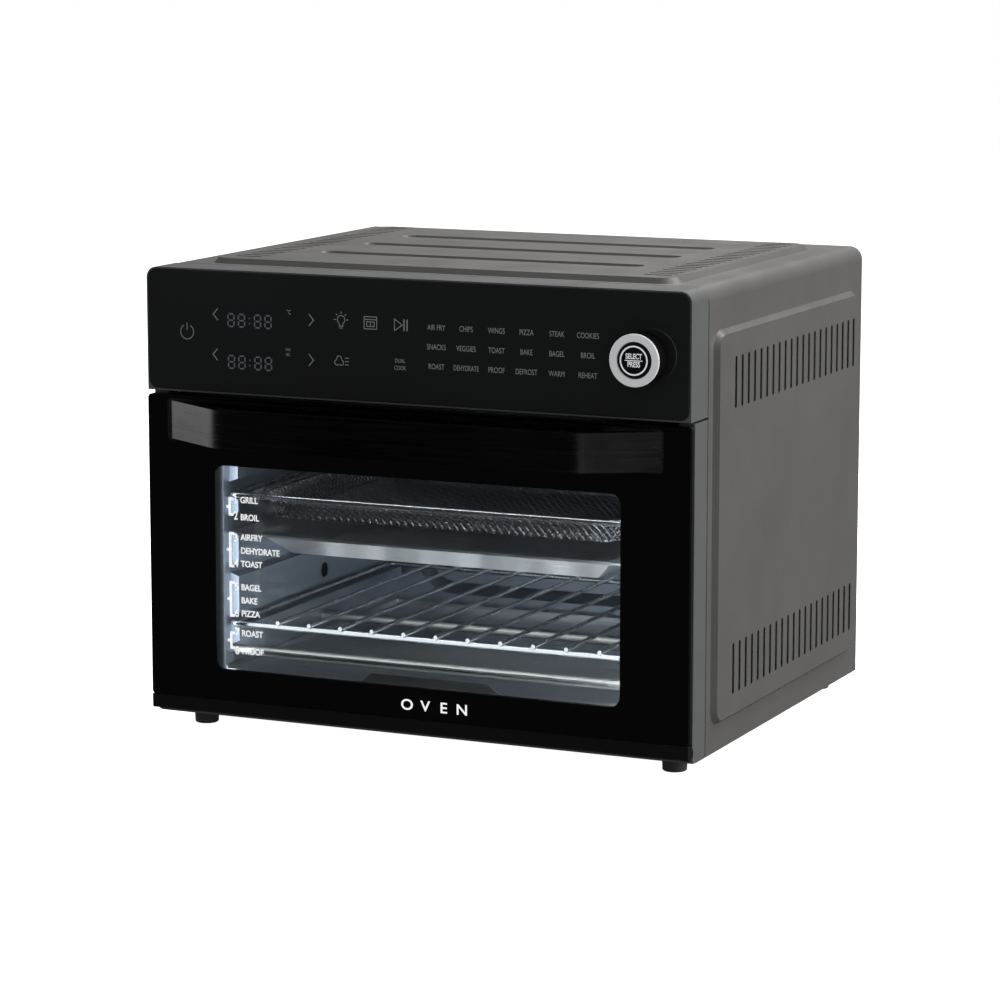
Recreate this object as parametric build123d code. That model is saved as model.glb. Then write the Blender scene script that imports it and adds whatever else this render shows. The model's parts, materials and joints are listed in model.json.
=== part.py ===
from build123d import *
import math
import os

# Countertop toaster oven with a drop-down glass door, side-vented steel wrap and digital control panel.
# Millimetres. X runs left to right, Y from front to back, Z up. The origin is on the surface the oven
# stands on, at the middle of the oven's width and of its depth with the handle.

# ---- driving dimensions --------------------------------------------------------------------------------
WIDTH = 430.0              # housing, across its flat sides
DEPTH = 361.0              # front face of the door to the rear edge of the wrap
HANDLE_REACH = 36.0        # handle, ahead of the door's front face
FOOT_HEIGHT = 12.4
HOUSING_HEIGHT = 335.0     # underside to flat top
EMBOSS = 4.0               # height of the raised fields on the sides and top
SHEET = 0.6                # steel of the wrap, back, base and cavity
CORNER = 10.0              # outer radius of the wrap's top corners
BEZEL_DEPTH = 34.0         # front face to the front edge of the wrap
SEAM_GAP = 1.2             # open line between the front mouldings and the wrap

HALF = WIDTH / 2
FRONT = HANDLE_REACH - (DEPTH + HANDLE_REACH) / 2
REAR = FRONT + DEPTH
SEAM = FRONT + BEZEL_DEPTH
UNDER = FOOT_HEIGHT
TOP = UNDER + HOUSING_HEIGHT

# Door
DOOR_BASE = UNDER + 4.0
DOOR_HEIGHT = 237.0
DOOR_TOP = DOOR_BASE + DOOR_HEIGHT
DOOR_GAP = 3.0             # between the door and the control panel
DOOR_SKIN = 8.0            # depth of the front part, which runs to the bottom
DOOR_DEPTH = 25.5          # depth of the whole door, above its step
DOOR_STEP = 26.0           # height of the step in the door's back
RAIL_HEIGHT = 10.5         # bottom rail that holds the hinge pins
GLASS = 4.0
HINGE_Y = FRONT + 4.5
HINGE_Z = DOOR_BASE + 4.0
HINGE_X = 150.0
BARREL_LENGTH = 24.0
BARREL_R = 2.6
PIN_R = 1.2
RUNNING = 0.05             # radial clearance of a pin in its barrel
WINDOW = (-161.0, 162.0)   # left and right edges of the clear window
WINDOW_Z = (DOOR_BASE + 33.5, DOOR_BASE + 186.5)

# Control panel
PANEL_BASE = DOOR_TOP + DOOR_GAP
PANEL_GLASS = 3.0
DISPLAY_Z = [DOOR_BASE + 294.6, DOOR_BASE + 264.0]
DIAL_X = 179.4
DIAL_Z = DOOR_BASE + 283.8
DIAL_R = 18.5
DIAL_REACH = 17.0
BUTTON_R = 12.6
BUTTON_TRAVEL = 1.5

# Cooking cavity
CAVITY_HALF = 167.0        # inner face of the side walls, in their grooves
LAND = 7.0                 # how far the lands between the grooves stand in
CAVITY_FRONT = FRONT + 29.0
CAVITY_BACK = FRONT + 325.0
CAVITY_FLOOR = DOOR_BASE + 26.4
CAVITY_ROOF = DOOR_BASE + 225.0
LANDS = [(46.0, 61.0), (67.5, 100.0), (106.0, 130.5), (143.5, 158.0), (169.0, 184.0)]
TRAY_CLEAR = 0.4           # between a tray's edge and the land it rests on
HEATER_R = 4.0
LOWER_HEATERS = [FRONT + 45.0, FRONT + 190.0]
UPPER_HEATERS = [FRONT + 75.0, FRONT + 285.0]
LOWER_HEATER_Z = DOOR_BASE + 40.5
UPPER_HEATER_Z = DOOR_BASE + 205.0
FAN_X = 0.0
FAN_Y = FRONT + 180.0
FAN_R = 58.0
SHAFT_R = 3.0

# Feet
FEET_X = 190.0
FEET_Y = (FRONT + 38.6, FRONT + 342.0)
FOOT_R = 9.4
FOOT_SCREW_R = 1.9


# ---- shape helpers -------------------------------------------------------------------------------------
def middle(pair):
    return (pair[0] + pair[1]) / 2


def span(pair):
    return pair[1] - pair[0]


def inset(pair, amount):
    """Pair of (low, high) moved in from both ends."""
    return (pair[0] + amount, pair[1] - amount)


def block(x, y, z):
    """Box from three (low, high) pairs."""
    return Pos(middle(x), middle(y), middle(z)) * Box(span(x), span(y), span(z))


def plate_y(x, z, y, radius):
    """Plate in the XZ plane with rounded corners, between two Y values."""
    sketch = Plane.XZ * Pos(middle(x), middle(z)) * RectangleRounded(span(x), span(z), radius)
    return Pos(0, y[1], 0) * extrude(sketch, span(y))


def plate_z(x, y, z, radius):
    """Plate in the XY plane with rounded corners, between two Z values."""
    sketch = Pos(middle(x), middle(y)) * RectangleRounded(span(x), span(y), radius)
    return Pos(0, 0, z[0]) * extrude(sketch, span(z))


def rod_x(x, y, z, radius):
    return Pos(middle(x), y, z) * Rot(0, 90, 0) * Cylinder(radius, span(x))


def rod_y(x, y, z, radius):
    return Pos(x, middle(y), z) * Rot(90, 0, 0) * Cylinder(radius, span(y))


def rod_z(x, y, z, radius):
    return Pos(x, y, middle(z)) * Cylinder(radius, span(z))


def tube_x(x, y, z, outer, inner):
    return rod_x(x, y, z, outer) - rod_x((x[0] - 1, x[1] + 1), y, z, inner)


def tube_y(x, y, z, outer, inner):
    return rod_y(x, y, z, outer) - rod_y(x, (y[0] - 1, y[1] + 1), z, inner)


def pan_y(x, z, y, wall, radius):
    """Sheet pan: a plate at the low-Y end with a skirt round it that runs to the high-Y end."""
    inside = plate_y(inset(x, wall), inset(z, wall), (y[0] + wall, y[1] + 1), radius - wall)
    return plate_y(x, z, y, radius) - inside


def wire_loop(half, y, z, radius, corner):
    """Closed wire frame with rounded corners, given to the outside of the wire."""
    size = (2 * (half - radius), span(y) - 2 * radius)
    path = (Pos(0, middle(y), z) * RectangleRounded(*size, corner)).wire()
    return sweep(Plane(origin=path @ 0, z_dir=path % 0) * Circle(radius), path=path)


def cut_all(body, tools):
    """Cut many tools that don't touch one another."""
    return body - Compound(children=list(tools))


def mirror_x(shape):
    return mirror(shape, Plane.YZ)


# ---- housing -------------------------------------------------------------------------------------------
SIDE_FIELD_Y = (FRONT + 42.0, REAR - 14.0)
SIDE_FIELD_Z = (DOOR_BASE + 14.7, DOOR_BASE + 300.0)
TOP_FIELD_X = 187.0
FIELD_TAPER = 40.0         # degrees that the fields' edges lean in
TOP_FIELD_Y = (FRONT + 40.0, FRONT + 330.0)
GROOVES_Y = [FRONT + 116.0, FRONT + 188.0, FRONT + 257.0]
GROOVE_X = (-131.0, 133.0)
GROOVE_WIDTH = 18.0
GROOVE_DEPTH = 3.0
SIDE_SLOTS = 21
SIDE_SLOT_PITCH = 12.7
SIDE_SLOT_FIRST = FRONT + 77.7
SIDE_SLOT_ROWS = [DOOR_BASE + 52.4, DOOR_BASE + 259.7]
SIDE_SLOT_LENGTH = 37.6
SIDE_SLOT_WIDTH = 4.0
TOP_SLOTS = 23
TOP_SLOT_PITCH = 11.8
TOP_SLOT_FIRST = FRONT + 62.0
TOP_SLOT_ROWS = [-162.5, 165.0]
TOP_SLOT_LENGTH = 22.0
TOP_SLOT_WIDTH = 3.5


def side_field(grow):
    """Raised field on the right side, as a tapered block whose faces are moved in by grow."""
    outline = RectangleRounded(span(SIDE_FIELD_Y) - 2 * grow, span(SIDE_FIELD_Z) - 2 * grow, 14)
    sketch = Plane.YZ * Pos(middle(SIDE_FIELD_Y), middle(SIDE_FIELD_Z)) * outline
    return Pos(HALF - 1 - grow, 0, 0) * extrude(sketch, EMBOSS + 1, taper=FIELD_TAPER)


def top_field(grow):
    """Raised field on the top, as a tapered block whose faces are moved in by grow."""
    outline = RectangleRounded(2 * TOP_FIELD_X - 2 * grow, span(TOP_FIELD_Y) - 2 * grow, 16)
    sketch = Pos(0, middle(TOP_FIELD_Y)) * outline
    return Pos(0, 0, TOP - 1 - grow) * extrude(sketch, EMBOSS + 1, taper=FIELD_TAPER)


def groove(y, grow):
    """Sunk groove in the top field: a round-ended trough with sloping sides."""
    sketch = Pos(middle(GROOVE_X), y) * SlotOverall(span(GROOVE_X) + 2 * grow, GROOVE_WIDTH + 2 * grow)
    return Pos(0, 0, TOP + EMBOSS + 1) * extrude(sketch, -(GROOVE_DEPTH + grow + 1), taper=35)


def side_slots():
    """Vertical vent slots through both sides."""
    tools = []
    for z in SIDE_SLOT_ROWS:
        for step in range(SIDE_SLOTS):
            place = Pos(0, SIDE_SLOT_FIRST + step * SIDE_SLOT_PITCH, z)
            outline = Rot(0, 0, 90) * SlotOverall(SIDE_SLOT_LENGTH, SIDE_SLOT_WIDTH)
            slot = extrude(Plane.YZ * outline, 10)
            tools += [place * Pos(HALF - 3, 0, 0) * slot, place * Pos(-HALF - 7, 0, 0) * slot]
    return tools


def top_slots():
    """Short vent slots through the top field, in a band near each end."""
    slot = extrude(SlotOverall(TOP_SLOT_LENGTH, TOP_SLOT_WIDTH), 10)
    return [Pos(x, TOP_SLOT_FIRST + step * TOP_SLOT_PITCH, TOP - 3) * slot
            for x in TOP_SLOT_ROWS for step in range(TOP_SLOTS)]


FLANGE = 12.0              # width of the wrap's bottom flanges


def outer_wrap():
    """One U of sheet steel: the sides and top, with raised fields, grooves, slots and bottom flanges."""
    def u_block(wall):
        outline = block((-HALF + wall, HALF - wall), (SEAM, REAR), (UNDER, TOP - wall))
        top_edges = outline.edges().filter_by(Axis.Y).group_by(Axis.Z)[-1]
        return fillet(top_edges, CORNER - wall)
    right = side_field(0)
    outer = u_block(0) + right + mirror_x(right) + top_field(0)
    inner_right = side_field(SHEET)
    inner = u_block(SHEET) + inner_right + mirror_x(inner_right) + top_field(SHEET)
    for y in GROOVES_Y:
        outer -= groove(y, 0)
        inner -= groove(y, SHEET)
    wrap = outer - inner
    flange = block((HALF - FLANGE, HALF - SHEET), (SEAM, REAR), (UNDER + SHEET, UNDER + 2 * SHEET))
    wrap = wrap + flange + mirror_x(flange)
    return cut_all(cut_all(wrap, side_slots()), top_slots())


BACK_FACE = REAR - 3.0
BACK_SKIRT = 12.0          # how far the rear panel's edges turn forward
GLAND_X = -150.0
GLAND_Z = UNDER + 32.0
GLAND_R = 7.0


def back_panel():
    """Rear sheet with a forward skirt, two blocks of vent slots and the hole for the cord gland."""
    x = (-HALF + SHEET + 0.2, HALF - SHEET - 0.2)
    z = (UNDER + 2 * SHEET + 0.4, TOP - SHEET - 0.2)
    start = BACK_FACE - BACK_SKIRT
    outer = plate_y(x, z, (start, BACK_FACE), CORNER - SHEET - 0.2)
    inner = plate_y(inset(x, SHEET), inset(z, SHEET), (start - 1, BACK_FACE - SHEET), CORNER - 2 * SHEET)
    slot = extrude(Plane.XZ * SlotOverall(44, 4), 6)
    rows = [Pos(column * 60.0, BACK_FACE + 3, DOOR_BASE + 246 + row * 11.0) * slot
            for column in (-2.5, -1.5, -0.5, 0.5, 1.5, 2.5) for row in range(6)]
    low_rows = [Pos(column * 60.0, BACK_FACE + 3, UNDER + 50 + row * 11.0) * slot
                for column in (-0.5, 0.5, 1.5, 2.5) for row in range(4)]
    gland_hole = rod_y(GLAND_X, (BACK_FACE - 3, BACK_FACE + 3), GLAND_Z, GLAND_R)
    return cut_all(outer - inner, rows + low_rows) - gland_hole


def cord_gland():
    """Bushing in the rear panel where the power cord enters, with a flange on each side of the sheet."""
    body = rod_y(GLAND_X, (BACK_FACE - 8, BACK_FACE + 3), GLAND_Z, GLAND_R)
    body += rod_y(GLAND_X, (BACK_FACE, BACK_FACE + 3), GLAND_Z, GLAND_R + 4)
    body += rod_y(GLAND_X, (BACK_FACE - 5, BACK_FACE - SHEET), GLAND_Z, GLAND_R + 2)
    return body - rod_y(GLAND_X, (BACK_FACE - 9, BACK_FACE + 4), GLAND_Z, 3.6)


def base_plate():
    """Bottom sheet under the wrap's flanges, with cooling slots and the feet's screw holes."""
    y = (SEAM + 0.5, BACK_FACE - BACK_SKIRT - 0.4)
    plate = block((-HALF + SHEET + 0.3, HALF - SHEET - 0.3), y, (UNDER, UNDER + SHEET))
    slot = extrude(SlotOverall(60, 4), 6)
    rows = [Pos(column * 80.0, FRONT + 110 + row * 14.0, UNDER - 2) * slot
            for column in (-1.5, -0.5, 0.5, 1.5) for row in range(11)]
    holes = [rod_z(x, y, (UNDER - 1, UNDER + 4), FOOT_SCREW_R) for x in (-FEET_X, FEET_X) for y in FEET_Y]
    return cut_all(plate, rows + holes)


def foot(x, y):
    """Round rubber foot, a little narrower at the bottom, with a deep recess for its screw."""
    body = Pos(x, y, FOOT_HEIGHT / 2) * Cone(FOOT_R - 0.6, FOOT_R, FOOT_HEIGHT)
    body = chamfer(body.edges().group_by(Axis.Z)[0], 0.8)
    recess = rod_z(x, y, (-1, FOOT_HEIGHT - 3.5), 4.2)
    return body - recess - rod_z(x, y, (-1, FOOT_HEIGHT + 1), FOOT_SCREW_R)


def foot_screws():
    """Pan-head screws that hold the four feet."""
    screws = []
    for x in (-FEET_X, FEET_X):
        for y in FEET_Y:
            head = rod_z(x, y, (FOOT_HEIGHT - 5.5, FOOT_HEIGHT - 3.5), 3.6)
            screws.append(head + rod_z(x, y, (FOOT_HEIGHT - 3.5, FOOT_HEIGHT + 4.5), FOOT_SCREW_R))
    return Compound(children=screws)


WRAP_SCREW_Z = [UNDER + 60.0, UNDER + 170.0, UNDER + 280.0]


def rear_screws():
    """Screws round the rear panel, with washer heads standing on the sheet."""
    places = [(side * (HALF - 8), z) for side in (-1, 1) for z in WRAP_SCREW_Z]
    places += [(x, TOP - 9) for x in (-120.0, 0.0, 120.0)]
    return Compound(children=[rod_y(x, (BACK_FACE, BACK_FACE + 2), z, 4.0) for x, z in places])


# ---- front mouldings -----------------------------------------------------------------------------------
RIM = 1.2                  # housing rim that shows round the control glass
COLUMN_INNER = 190.2
COLUMN_FRONT = FRONT + 26.0
CHEEK_FRONT = FRONT + 8.7
CHEEK_TOP = DOOR_BASE + 25.2
CHEEK_WALL = 2.5
MOULDING_END = SEAM - SEAM_GAP
COLUMN_TOP = PANEL_BASE - 1.6
COLUMN_Z = (DOOR_BASE + 6.0, COLUMN_TOP)
NOSE_X = (203.0, HALF)     # part of a column that stands beside the door's back
NOSE_FRONT = FRONT + 9.7
TONGUE_X = (HALF - 2.4, HALF - 0.9)
TONGUE_Y = (MOULDING_END - 4.0, SEAM + 3.0)
HINGE_SWEEP_R = 6.2        # room round the hinge line for the door's rail


def control_housing():
    """Hollow box behind the control glass, open at the back, with a tongue that reaches into the wrap."""
    outer = block((-HALF, HALF), (FRONT + 1.0, MOULDING_END), (PANEL_BASE, TOP))
    outer = fillet(outer.edges().filter_by(Axis.Y).group_by(Axis.Z)[-1], 8)
    glass_well = plate_y((-HALF + RIM, HALF - RIM), (PANEL_BASE + RIM, TOP - RIM), (FRONT, FRONT + 3.2), 7)
    inside = block((-HALF + 5, HALF - 5), (FRONT + 3, SEAM + 1), (PANEL_BASE + 4, TOP - 5))
    body = outer - glass_well - inside
    back_room = plate_y((-HALF + 2, HALF - 2), (PANEL_BASE + 2, TOP - 2), (FRONT + 5.5, SEAM + 1), 6)
    return body - back_room + housing_tongue()


def housing_tongue():
    """Thin lip under the wrap's front edge, over the control housing's sides and top."""
    def arch(wall):
        bottom = PANEL_BASE if wall < 1 else PANEL_BASE - 1
        outline = block((-HALF + wall, HALF - wall), TONGUE_Y, (bottom, TOP - wall))
        return fillet(outline.edges().filter_by(Axis.Y).group_by(Axis.Z)[-1], CORNER - wall)
    return arch(HALF - TONGUE_X[1]) - arch(HALF - TONGUE_X[0])


def control_glass():
    """Black front glass of the control panel, with the hole for the dial's shaft."""
    gap = RIM + 0.2
    y = (FRONT, FRONT + PANEL_GLASS)
    glass = plate_y((-HALF + gap, HALF - gap), (PANEL_BASE + gap, TOP - gap), y, 7)
    glass = chamfer(glass.edges().group_by(Axis.Y)[0], 0.4)
    return glass - rod_y(DIAL_X, (FRONT - 1, FRONT + PANEL_GLASS + 1), DIAL_Z, 5.0)


def displays():
    """Two four-digit display modules behind the glass: temperature above, time below."""
    y = (FRONT + PANEL_GLASS + 0.2, FRONT + 11)
    return Compound(children=[block((-149.5, -108.5), y, (z - 8.5, z + 8.5)) for z in DISPLAY_Z])


def control_board():
    """Touch and display circuit board, with the tall parts on its back."""
    board = block((-200, 200), (FRONT + 11.2, FRONT + 12.8), (PANEL_BASE + 12, TOP - 14))
    chip = block((-60, -38), (FRONT + 12.8, FRONT + 15.5), (PANEL_BASE + 34, PANEL_BASE + 52))
    header = block((20, 60), (FRONT + 12.8, FRONT + 20), (PANEL_BASE + 18, PANEL_BASE + 26))
    buzzer = rod_y(110, (FRONT + 12.8, FRONT + 19), PANEL_BASE + 40, 6)
    opening = rod_y(DIAL_X, (FRONT + 10, FRONT + 14), DIAL_Z, 9)
    return board - opening + chip + header + buzzer


ENCODER_R = 4.0
STEM_R = 2.0
STEM_END = FRONT + 5.5


def rotary_encoder():
    """Encoder behind the dial: a body on the board and a hollow shaft that the push stem runs in."""
    body = block((DIAL_X - 8, DIAL_X + 8), (FRONT + 4, FRONT + 11), (DIAL_Z - 8, DIAL_Z + 8))
    body += rod_y(DIAL_X, (FRONT - 9, FRONT + 4), DIAL_Z, ENCODER_R)
    bore = (FRONT - 10, STEM_END + BUTTON_TRAVEL + 1)
    return body - rod_y(DIAL_X, bore, DIAL_Z, STEM_R + RUNNING)


def dial_knob():
    """Black skirt of the dial: turns on the encoder shaft and is hollow for the centre button."""
    skirt = rod_y(DIAL_X, (FRONT - DIAL_REACH + 1.5, FRONT - 0.8), DIAL_Z, DIAL_R)
    skirt = chamfer(skirt.edges().group_by(Axis.Y)[-1], 0.8)
    hollow = rod_y(DIAL_X, (FRONT - DIAL_REACH, FRONT - 7), DIAL_Z, BUTTON_R + 0.4)
    return skirt - hollow - rod_y(DIAL_X, (FRONT - 8, FRONT), DIAL_Z, ENCODER_R + RUNNING)


def dial_ring():
    """Bright metal ring on the front of the dial."""
    ring = tube_y(DIAL_X, (FRONT - DIAL_REACH, FRONT - DIAL_REACH + 1.5), DIAL_Z, DIAL_R, BUTTON_R + 0.4)
    return chamfer(ring.edges().group_by(Axis.Y)[0], 0.4)


def select_button():
    """Push button in the middle of the dial, on a stem that reaches the encoder's switch."""
    cap = rod_y(DIAL_X, (FRONT - DIAL_REACH - 0.3, FRONT - DIAL_REACH + 4), DIAL_Z, BUTTON_R)
    cap = chamfer(cap.edges().group_by(Axis.Y)[0], 0.5)
    return cap + rod_y(DIAL_X, (FRONT - DIAL_REACH + 4, STEM_END), DIAL_Z, STEM_R)


def front_column():
    """Right column: a hollow nose beside the door, a ledge behind it and a tongue into the wrap."""
    nose = block(NOSE_X, (NOSE_FRONT, MOULDING_END), COLUMN_Z)
    nose = fillet(nose.edges().filter_by(Axis.Z).group_by(Axis.Y)[0].sort_by(Axis.X)[-1], 1.5)
    hollow_x = (NOSE_X[0] + 2, NOSE_X[1] - 3)
    nose -= block(hollow_x, (NOSE_FRONT + 2, SEAM), (COLUMN_Z[0] - 1, COLUMN_Z[1] - 3))
    ledge = block((COLUMN_INNER, hollow_x[0]), (COLUMN_FRONT, COLUMN_FRONT + 2), COLUMN_Z)
    return nose + ledge + block(TONGUE_X, TONGUE_Y, (UNDER + 1.5, COLUMN_TOP))


def front_frame():
    """Grey frame round the door's back: two columns, two cheeks below them, a floor and a front wall."""
    cheek = block((HALF - CHEEK_WALL, HALF), (CHEEK_FRONT, MOULDING_END), (UNDER, CHEEK_TOP))
    cheek = fillet(cheek.edges().filter_by(Axis.X).group_by(Axis.Z)[0].sort_by(Axis.Y)[0], 6)
    side = front_column() + cheek
    floor = block((-HALF + 1, HALF - 1), (CHEEK_FRONT + 6, MOULDING_END), (UNDER, UNDER + 2))
    front_wall = block((-HALF + 1, HALF - 1), (FRONT + 12, FRONT + 14), (UNDER, CHEEK_TOP - 3))
    body = side + mirror_x(side) + floor + front_wall
    for x in (-HINGE_X, HINGE_X):
        body -= block((x - 14, x + 14), (FRONT + 8, FRONT + 15), (HINGE_Z - 3, HINGE_Z + 3))
    return body - rod_x((-HALF - 1, HALF + 1), HINGE_Y, HINGE_Z, HINGE_SWEEP_R)


def hinge_leaf(x):
    """Fixed half of a door hinge: a barrel on the hinge line, a leaf going back, and a foot on the rail."""
    across = (x - BARREL_LENGTH / 2, x + BARREL_LENGTH / 2)
    barrel = rod_x(across, HINGE_Y, HINGE_Z, BARREL_R)
    leaf = block(across, (HINGE_Y, FRONT + 27), (HINGE_Z - 0.7, HINGE_Z + 0.7))
    drop = block(across, (FRONT + 25.6, FRONT + 27), (UNDER + 2, HINGE_Z + 0.7))
    base = block(across, (FRONT + 20, FRONT + 27), (UNDER + 2, UNDER + 3.4))
    body = barrel + leaf + drop + base
    return body - rod_x((across[0] - 1, across[1] + 1), HINGE_Y, HINGE_Z, PIN_R + RUNNING)


# ---- door ----------------------------------------------------------------------------------------------
INNER_PAN_HALF = 201.5     # the door's back part fits between the columns
INNER_APERTURE = 177.0
INNER_APERTURE_Z = (DOOR_BASE + 29.5, DOOR_BASE + 205.0)
PIN_LENGTH = 40.0


def door_rail():
    """Bottom rail of the door, with a pocket for each hinge barrel and holes for the pins."""
    rail = block((-HALF, HALF), (FRONT + 0.6, FRONT + DOOR_SKIN), (DOOR_BASE, DOOR_BASE + RAIL_HEIGHT))
    rail = chamfer(rail.edges().filter_by(Axis.X).group_by(Axis.Z)[0], 1.2)
    for x in (-HINGE_X, HINGE_X):
        reach = BARREL_LENGTH / 2 + 0.5
        rail -= block((x - reach, x + reach), (FRONT + 1.6, FRONT + 9), (DOOR_BASE - 1, HINGE_Z + 3.2))
        rail -= rod_x((x - PIN_LENGTH / 2, x + PIN_LENGTH / 2), HINGE_Y, HINGE_Z, PIN_R)
    return rail


def hinge_pins():
    """Two pins fixed in the door rail, one through each hinge barrel."""
    spans = [(x - PIN_LENGTH / 2, x + PIN_LENGTH / 2) for x in (-HINGE_X, HINGE_X)]
    return Compound(children=[rod_x(span, HINGE_Y, HINGE_Z, PIN_R) for span in spans])


PLATE_Z = (DOOR_BASE + RAIL_HEIGHT + 0.2, DOOR_TOP)


def door_glass():
    """Outer glass of the door: tempered, with softened edges."""
    glass = plate_y((-HALF, HALF), PLATE_Z, (FRONT, FRONT + GLASS), 3)
    return chamfer(glass.edges().group_by(Axis.Y)[0], 0.5)


def door_mask():
    """Black backing behind the outer glass, cut out for the window."""
    mask = plate_y((-HALF, HALF), PLATE_Z, (FRONT + GLASS, FRONT + GLASS + 0.5), 3)
    return mask - plate_y(WINDOW, WINDOW_Z, (FRONT, FRONT + 10), 8)


FRONT_PAN_WALL = 1.0
FRONT_PAN_Y = (FRONT + GLASS + 0.5, FRONT + DOOR_SKIN)


def door_front_pan():
    """Black sheet pan that carries the outer glass, with its skirt turned back."""
    pan = pan_y((-HALF, HALF), PLATE_Z, FRONT_PAN_Y, FRONT_PAN_WALL, 3)
    return pan - plate_y(inset(WINDOW, -3), inset(WINDOW_Z, -2.5), (FRONT, FRONT + 10), 9)


def door_inner_pan():
    """Black inner pan of the door: side walls and the rear face round the inner glass."""
    x = (-INNER_PAN_HALF, INNER_PAN_HALF)
    z = (DOOR_BASE + DOOR_STEP, DOOR_TOP - FRONT_PAN_WALL)
    y = (FRONT_PAN_Y[0] + FRONT_PAN_WALL, FRONT + DOOR_DEPTH)
    outer = plate_y(x, z, y, 2.5)
    inner = plate_y(inset(x, 1.2), inset(z, 1.2), (y[0] - 1, y[1] - 1), 1.3)
    opening = plate_y((-INNER_APERTURE, INNER_APERTURE), INNER_APERTURE_Z, (y[1] - 3, y[1] + 1), 6)
    return outer - inner - opening


INNER_GLASS_Y = (FRONT + DOOR_DEPTH - 4.2, FRONT + DOOR_DEPTH - 1.2)
GLASS_MARGIN = 9.0         # overlap of the inner glass on the pan round its opening


def inner_glass():
    """Inner glass of the door, laid on the inner pan's rear face."""
    x = (-INNER_APERTURE - GLASS_MARGIN, INNER_APERTURE + GLASS_MARGIN)
    return plate_y(x, (DOOR_BASE + DOOR_STEP + 1.6, INNER_APERTURE_Z[1] + GLASS_MARGIN), INNER_GLASS_Y, 4)


def glass_clips():
    """Spring clips that hold the inner glass in the pan."""
    edge = INNER_APERTURE + GLASS_MARGIN
    tab_front = INNER_GLASS_Y[0] - 1.4
    tab_back = INNER_GLASS_Y[0] - 0.2
    clips = []
    for centre in (DOOR_BASE + 70, DOOR_BASE + 165):
        z = (centre - 9, centre + 9)
        clip = block((edge - 7, edge + 8), (tab_front, tab_back), z)
        clip += block((edge + 1, edge + 8), (tab_back, INNER_GLASS_Y[1]), z)
        clips += [clip, mirror_x(clip)]
    return Compound(children=clips)


HANDLE_Z = (DOOR_BASE + 205.0, DOOR_BASE + 233.0)
HANDLE_END = 194.0
HANDLE_BEND = 138.0
HANDLE_BEND_R = 42.0
HANDLE_THICK = 9.0
HANDLE_BASE_X = (-197.5, 195.5)
HANDLE_BASE_Z = (DOOR_BASE + 203.5, DOOR_BASE + 234.5)


def handle_bar():
    """Bowed flat handle bar: straight in the middle, sloping back to the door at both ends."""
    reach = FRONT - HANDLE_REACH
    root = FRONT - 1.6
    front_line = [(-HANDLE_END, root), (-HANDLE_BEND, reach), (HANDLE_BEND, reach), (HANDLE_END, root)]
    back_line = [(HANDLE_END - 17, root), (HANDLE_BEND - 4, reach + HANDLE_THICK),
                 (-HANDLE_BEND + 4, reach + HANDLE_THICK), (-HANDLE_END + 17, root)]
    outline = make_face(Polyline(front_line + back_line, close=True))
    bar = Pos(0, 0, HANDLE_Z[0]) * extrude(outline, HANDLE_Z[1] - HANDLE_Z[0])
    uprights = bar.edges().filter_by(Axis.Z)
    bends = [edge for edge in uprights if abs(edge.center().Y - root) > 2]
    return fillet(bends, HANDLE_BEND_R)


def handle_base():
    """Thin bright-edged plate between the handle bar and the door glass."""
    plate = plate_y(HANDLE_BASE_X, HANDLE_BASE_Z, (FRONT - 1.6, FRONT), 3)
    relief_x = (-HANDLE_END + 20, HANDLE_END - 20)
    return plate - plate_y(relief_x, inset(HANDLE_BASE_Z, 4), (FRONT - 2, FRONT - 0.8), 3)


def handle_screws():
    """Screws through the front pan into the handle's ends, with their heads inside the door."""
    screws = []
    for x in (-HANDLE_END + 9, HANDLE_END - 9):
        for z in (HANDLE_Z[0] + 9, HANDLE_Z[1] - 9):
            screws.append(rod_y(x, (FRONT + GLASS + 1.5, FRONT + GLASS + 4), z, 3.5))
    return Compound(children=screws)


# ---- cooking cavity ------------------------------------------------------------------------------------
def cavity_front_frame():
    """Flat sheet round the mouth of the cavity, which the door closes against."""
    y = (CAVITY_FRONT, CAVITY_FRONT + SHEET)
    frame = plate_y((-COLUMN_INNER + 0.2, COLUMN_INNER - 0.2), (DOOR_BASE + 6, PANEL_BASE - 0.5), y, 2)
    mouth = plate_y((-CAVITY_HALF, CAVITY_HALF), (CAVITY_FLOOR, CAVITY_ROOF), (y[0] - 1, y[1] + 1), 0.5)
    return frame - mouth


WALL_Y = (CAVITY_FRONT + SHEET + 0.1, CAVITY_BACK - 0.1)
WALL_CUT = (CAVITY_HALF - 2, CAVITY_HALF + 3)
LAND_Y = (WALL_Y[0] + 9, WALL_Y[1] - 8)
HEATER_PLACES = [(y, LOWER_HEATER_Z) for y in LOWER_HEATERS] + [(y, UPPER_HEATER_Z) for y in UPPER_HEATERS]


def land_profile(low, high, depth, thin):
    """Trapezoid of one land in the XZ plane, standing in from the right wall, thinned by the sheet."""
    face = CAVITY_HALF + thin
    slope = 2.5
    bottom = DOOR_BASE + low + thin
    top = DOOR_BASE + high - thin
    points = [(face, bottom), (face - depth, bottom + slope), (face - depth, top - slope), (face, top)]
    return make_face(Plane.XZ * Polyline(points, close=True))


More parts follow.
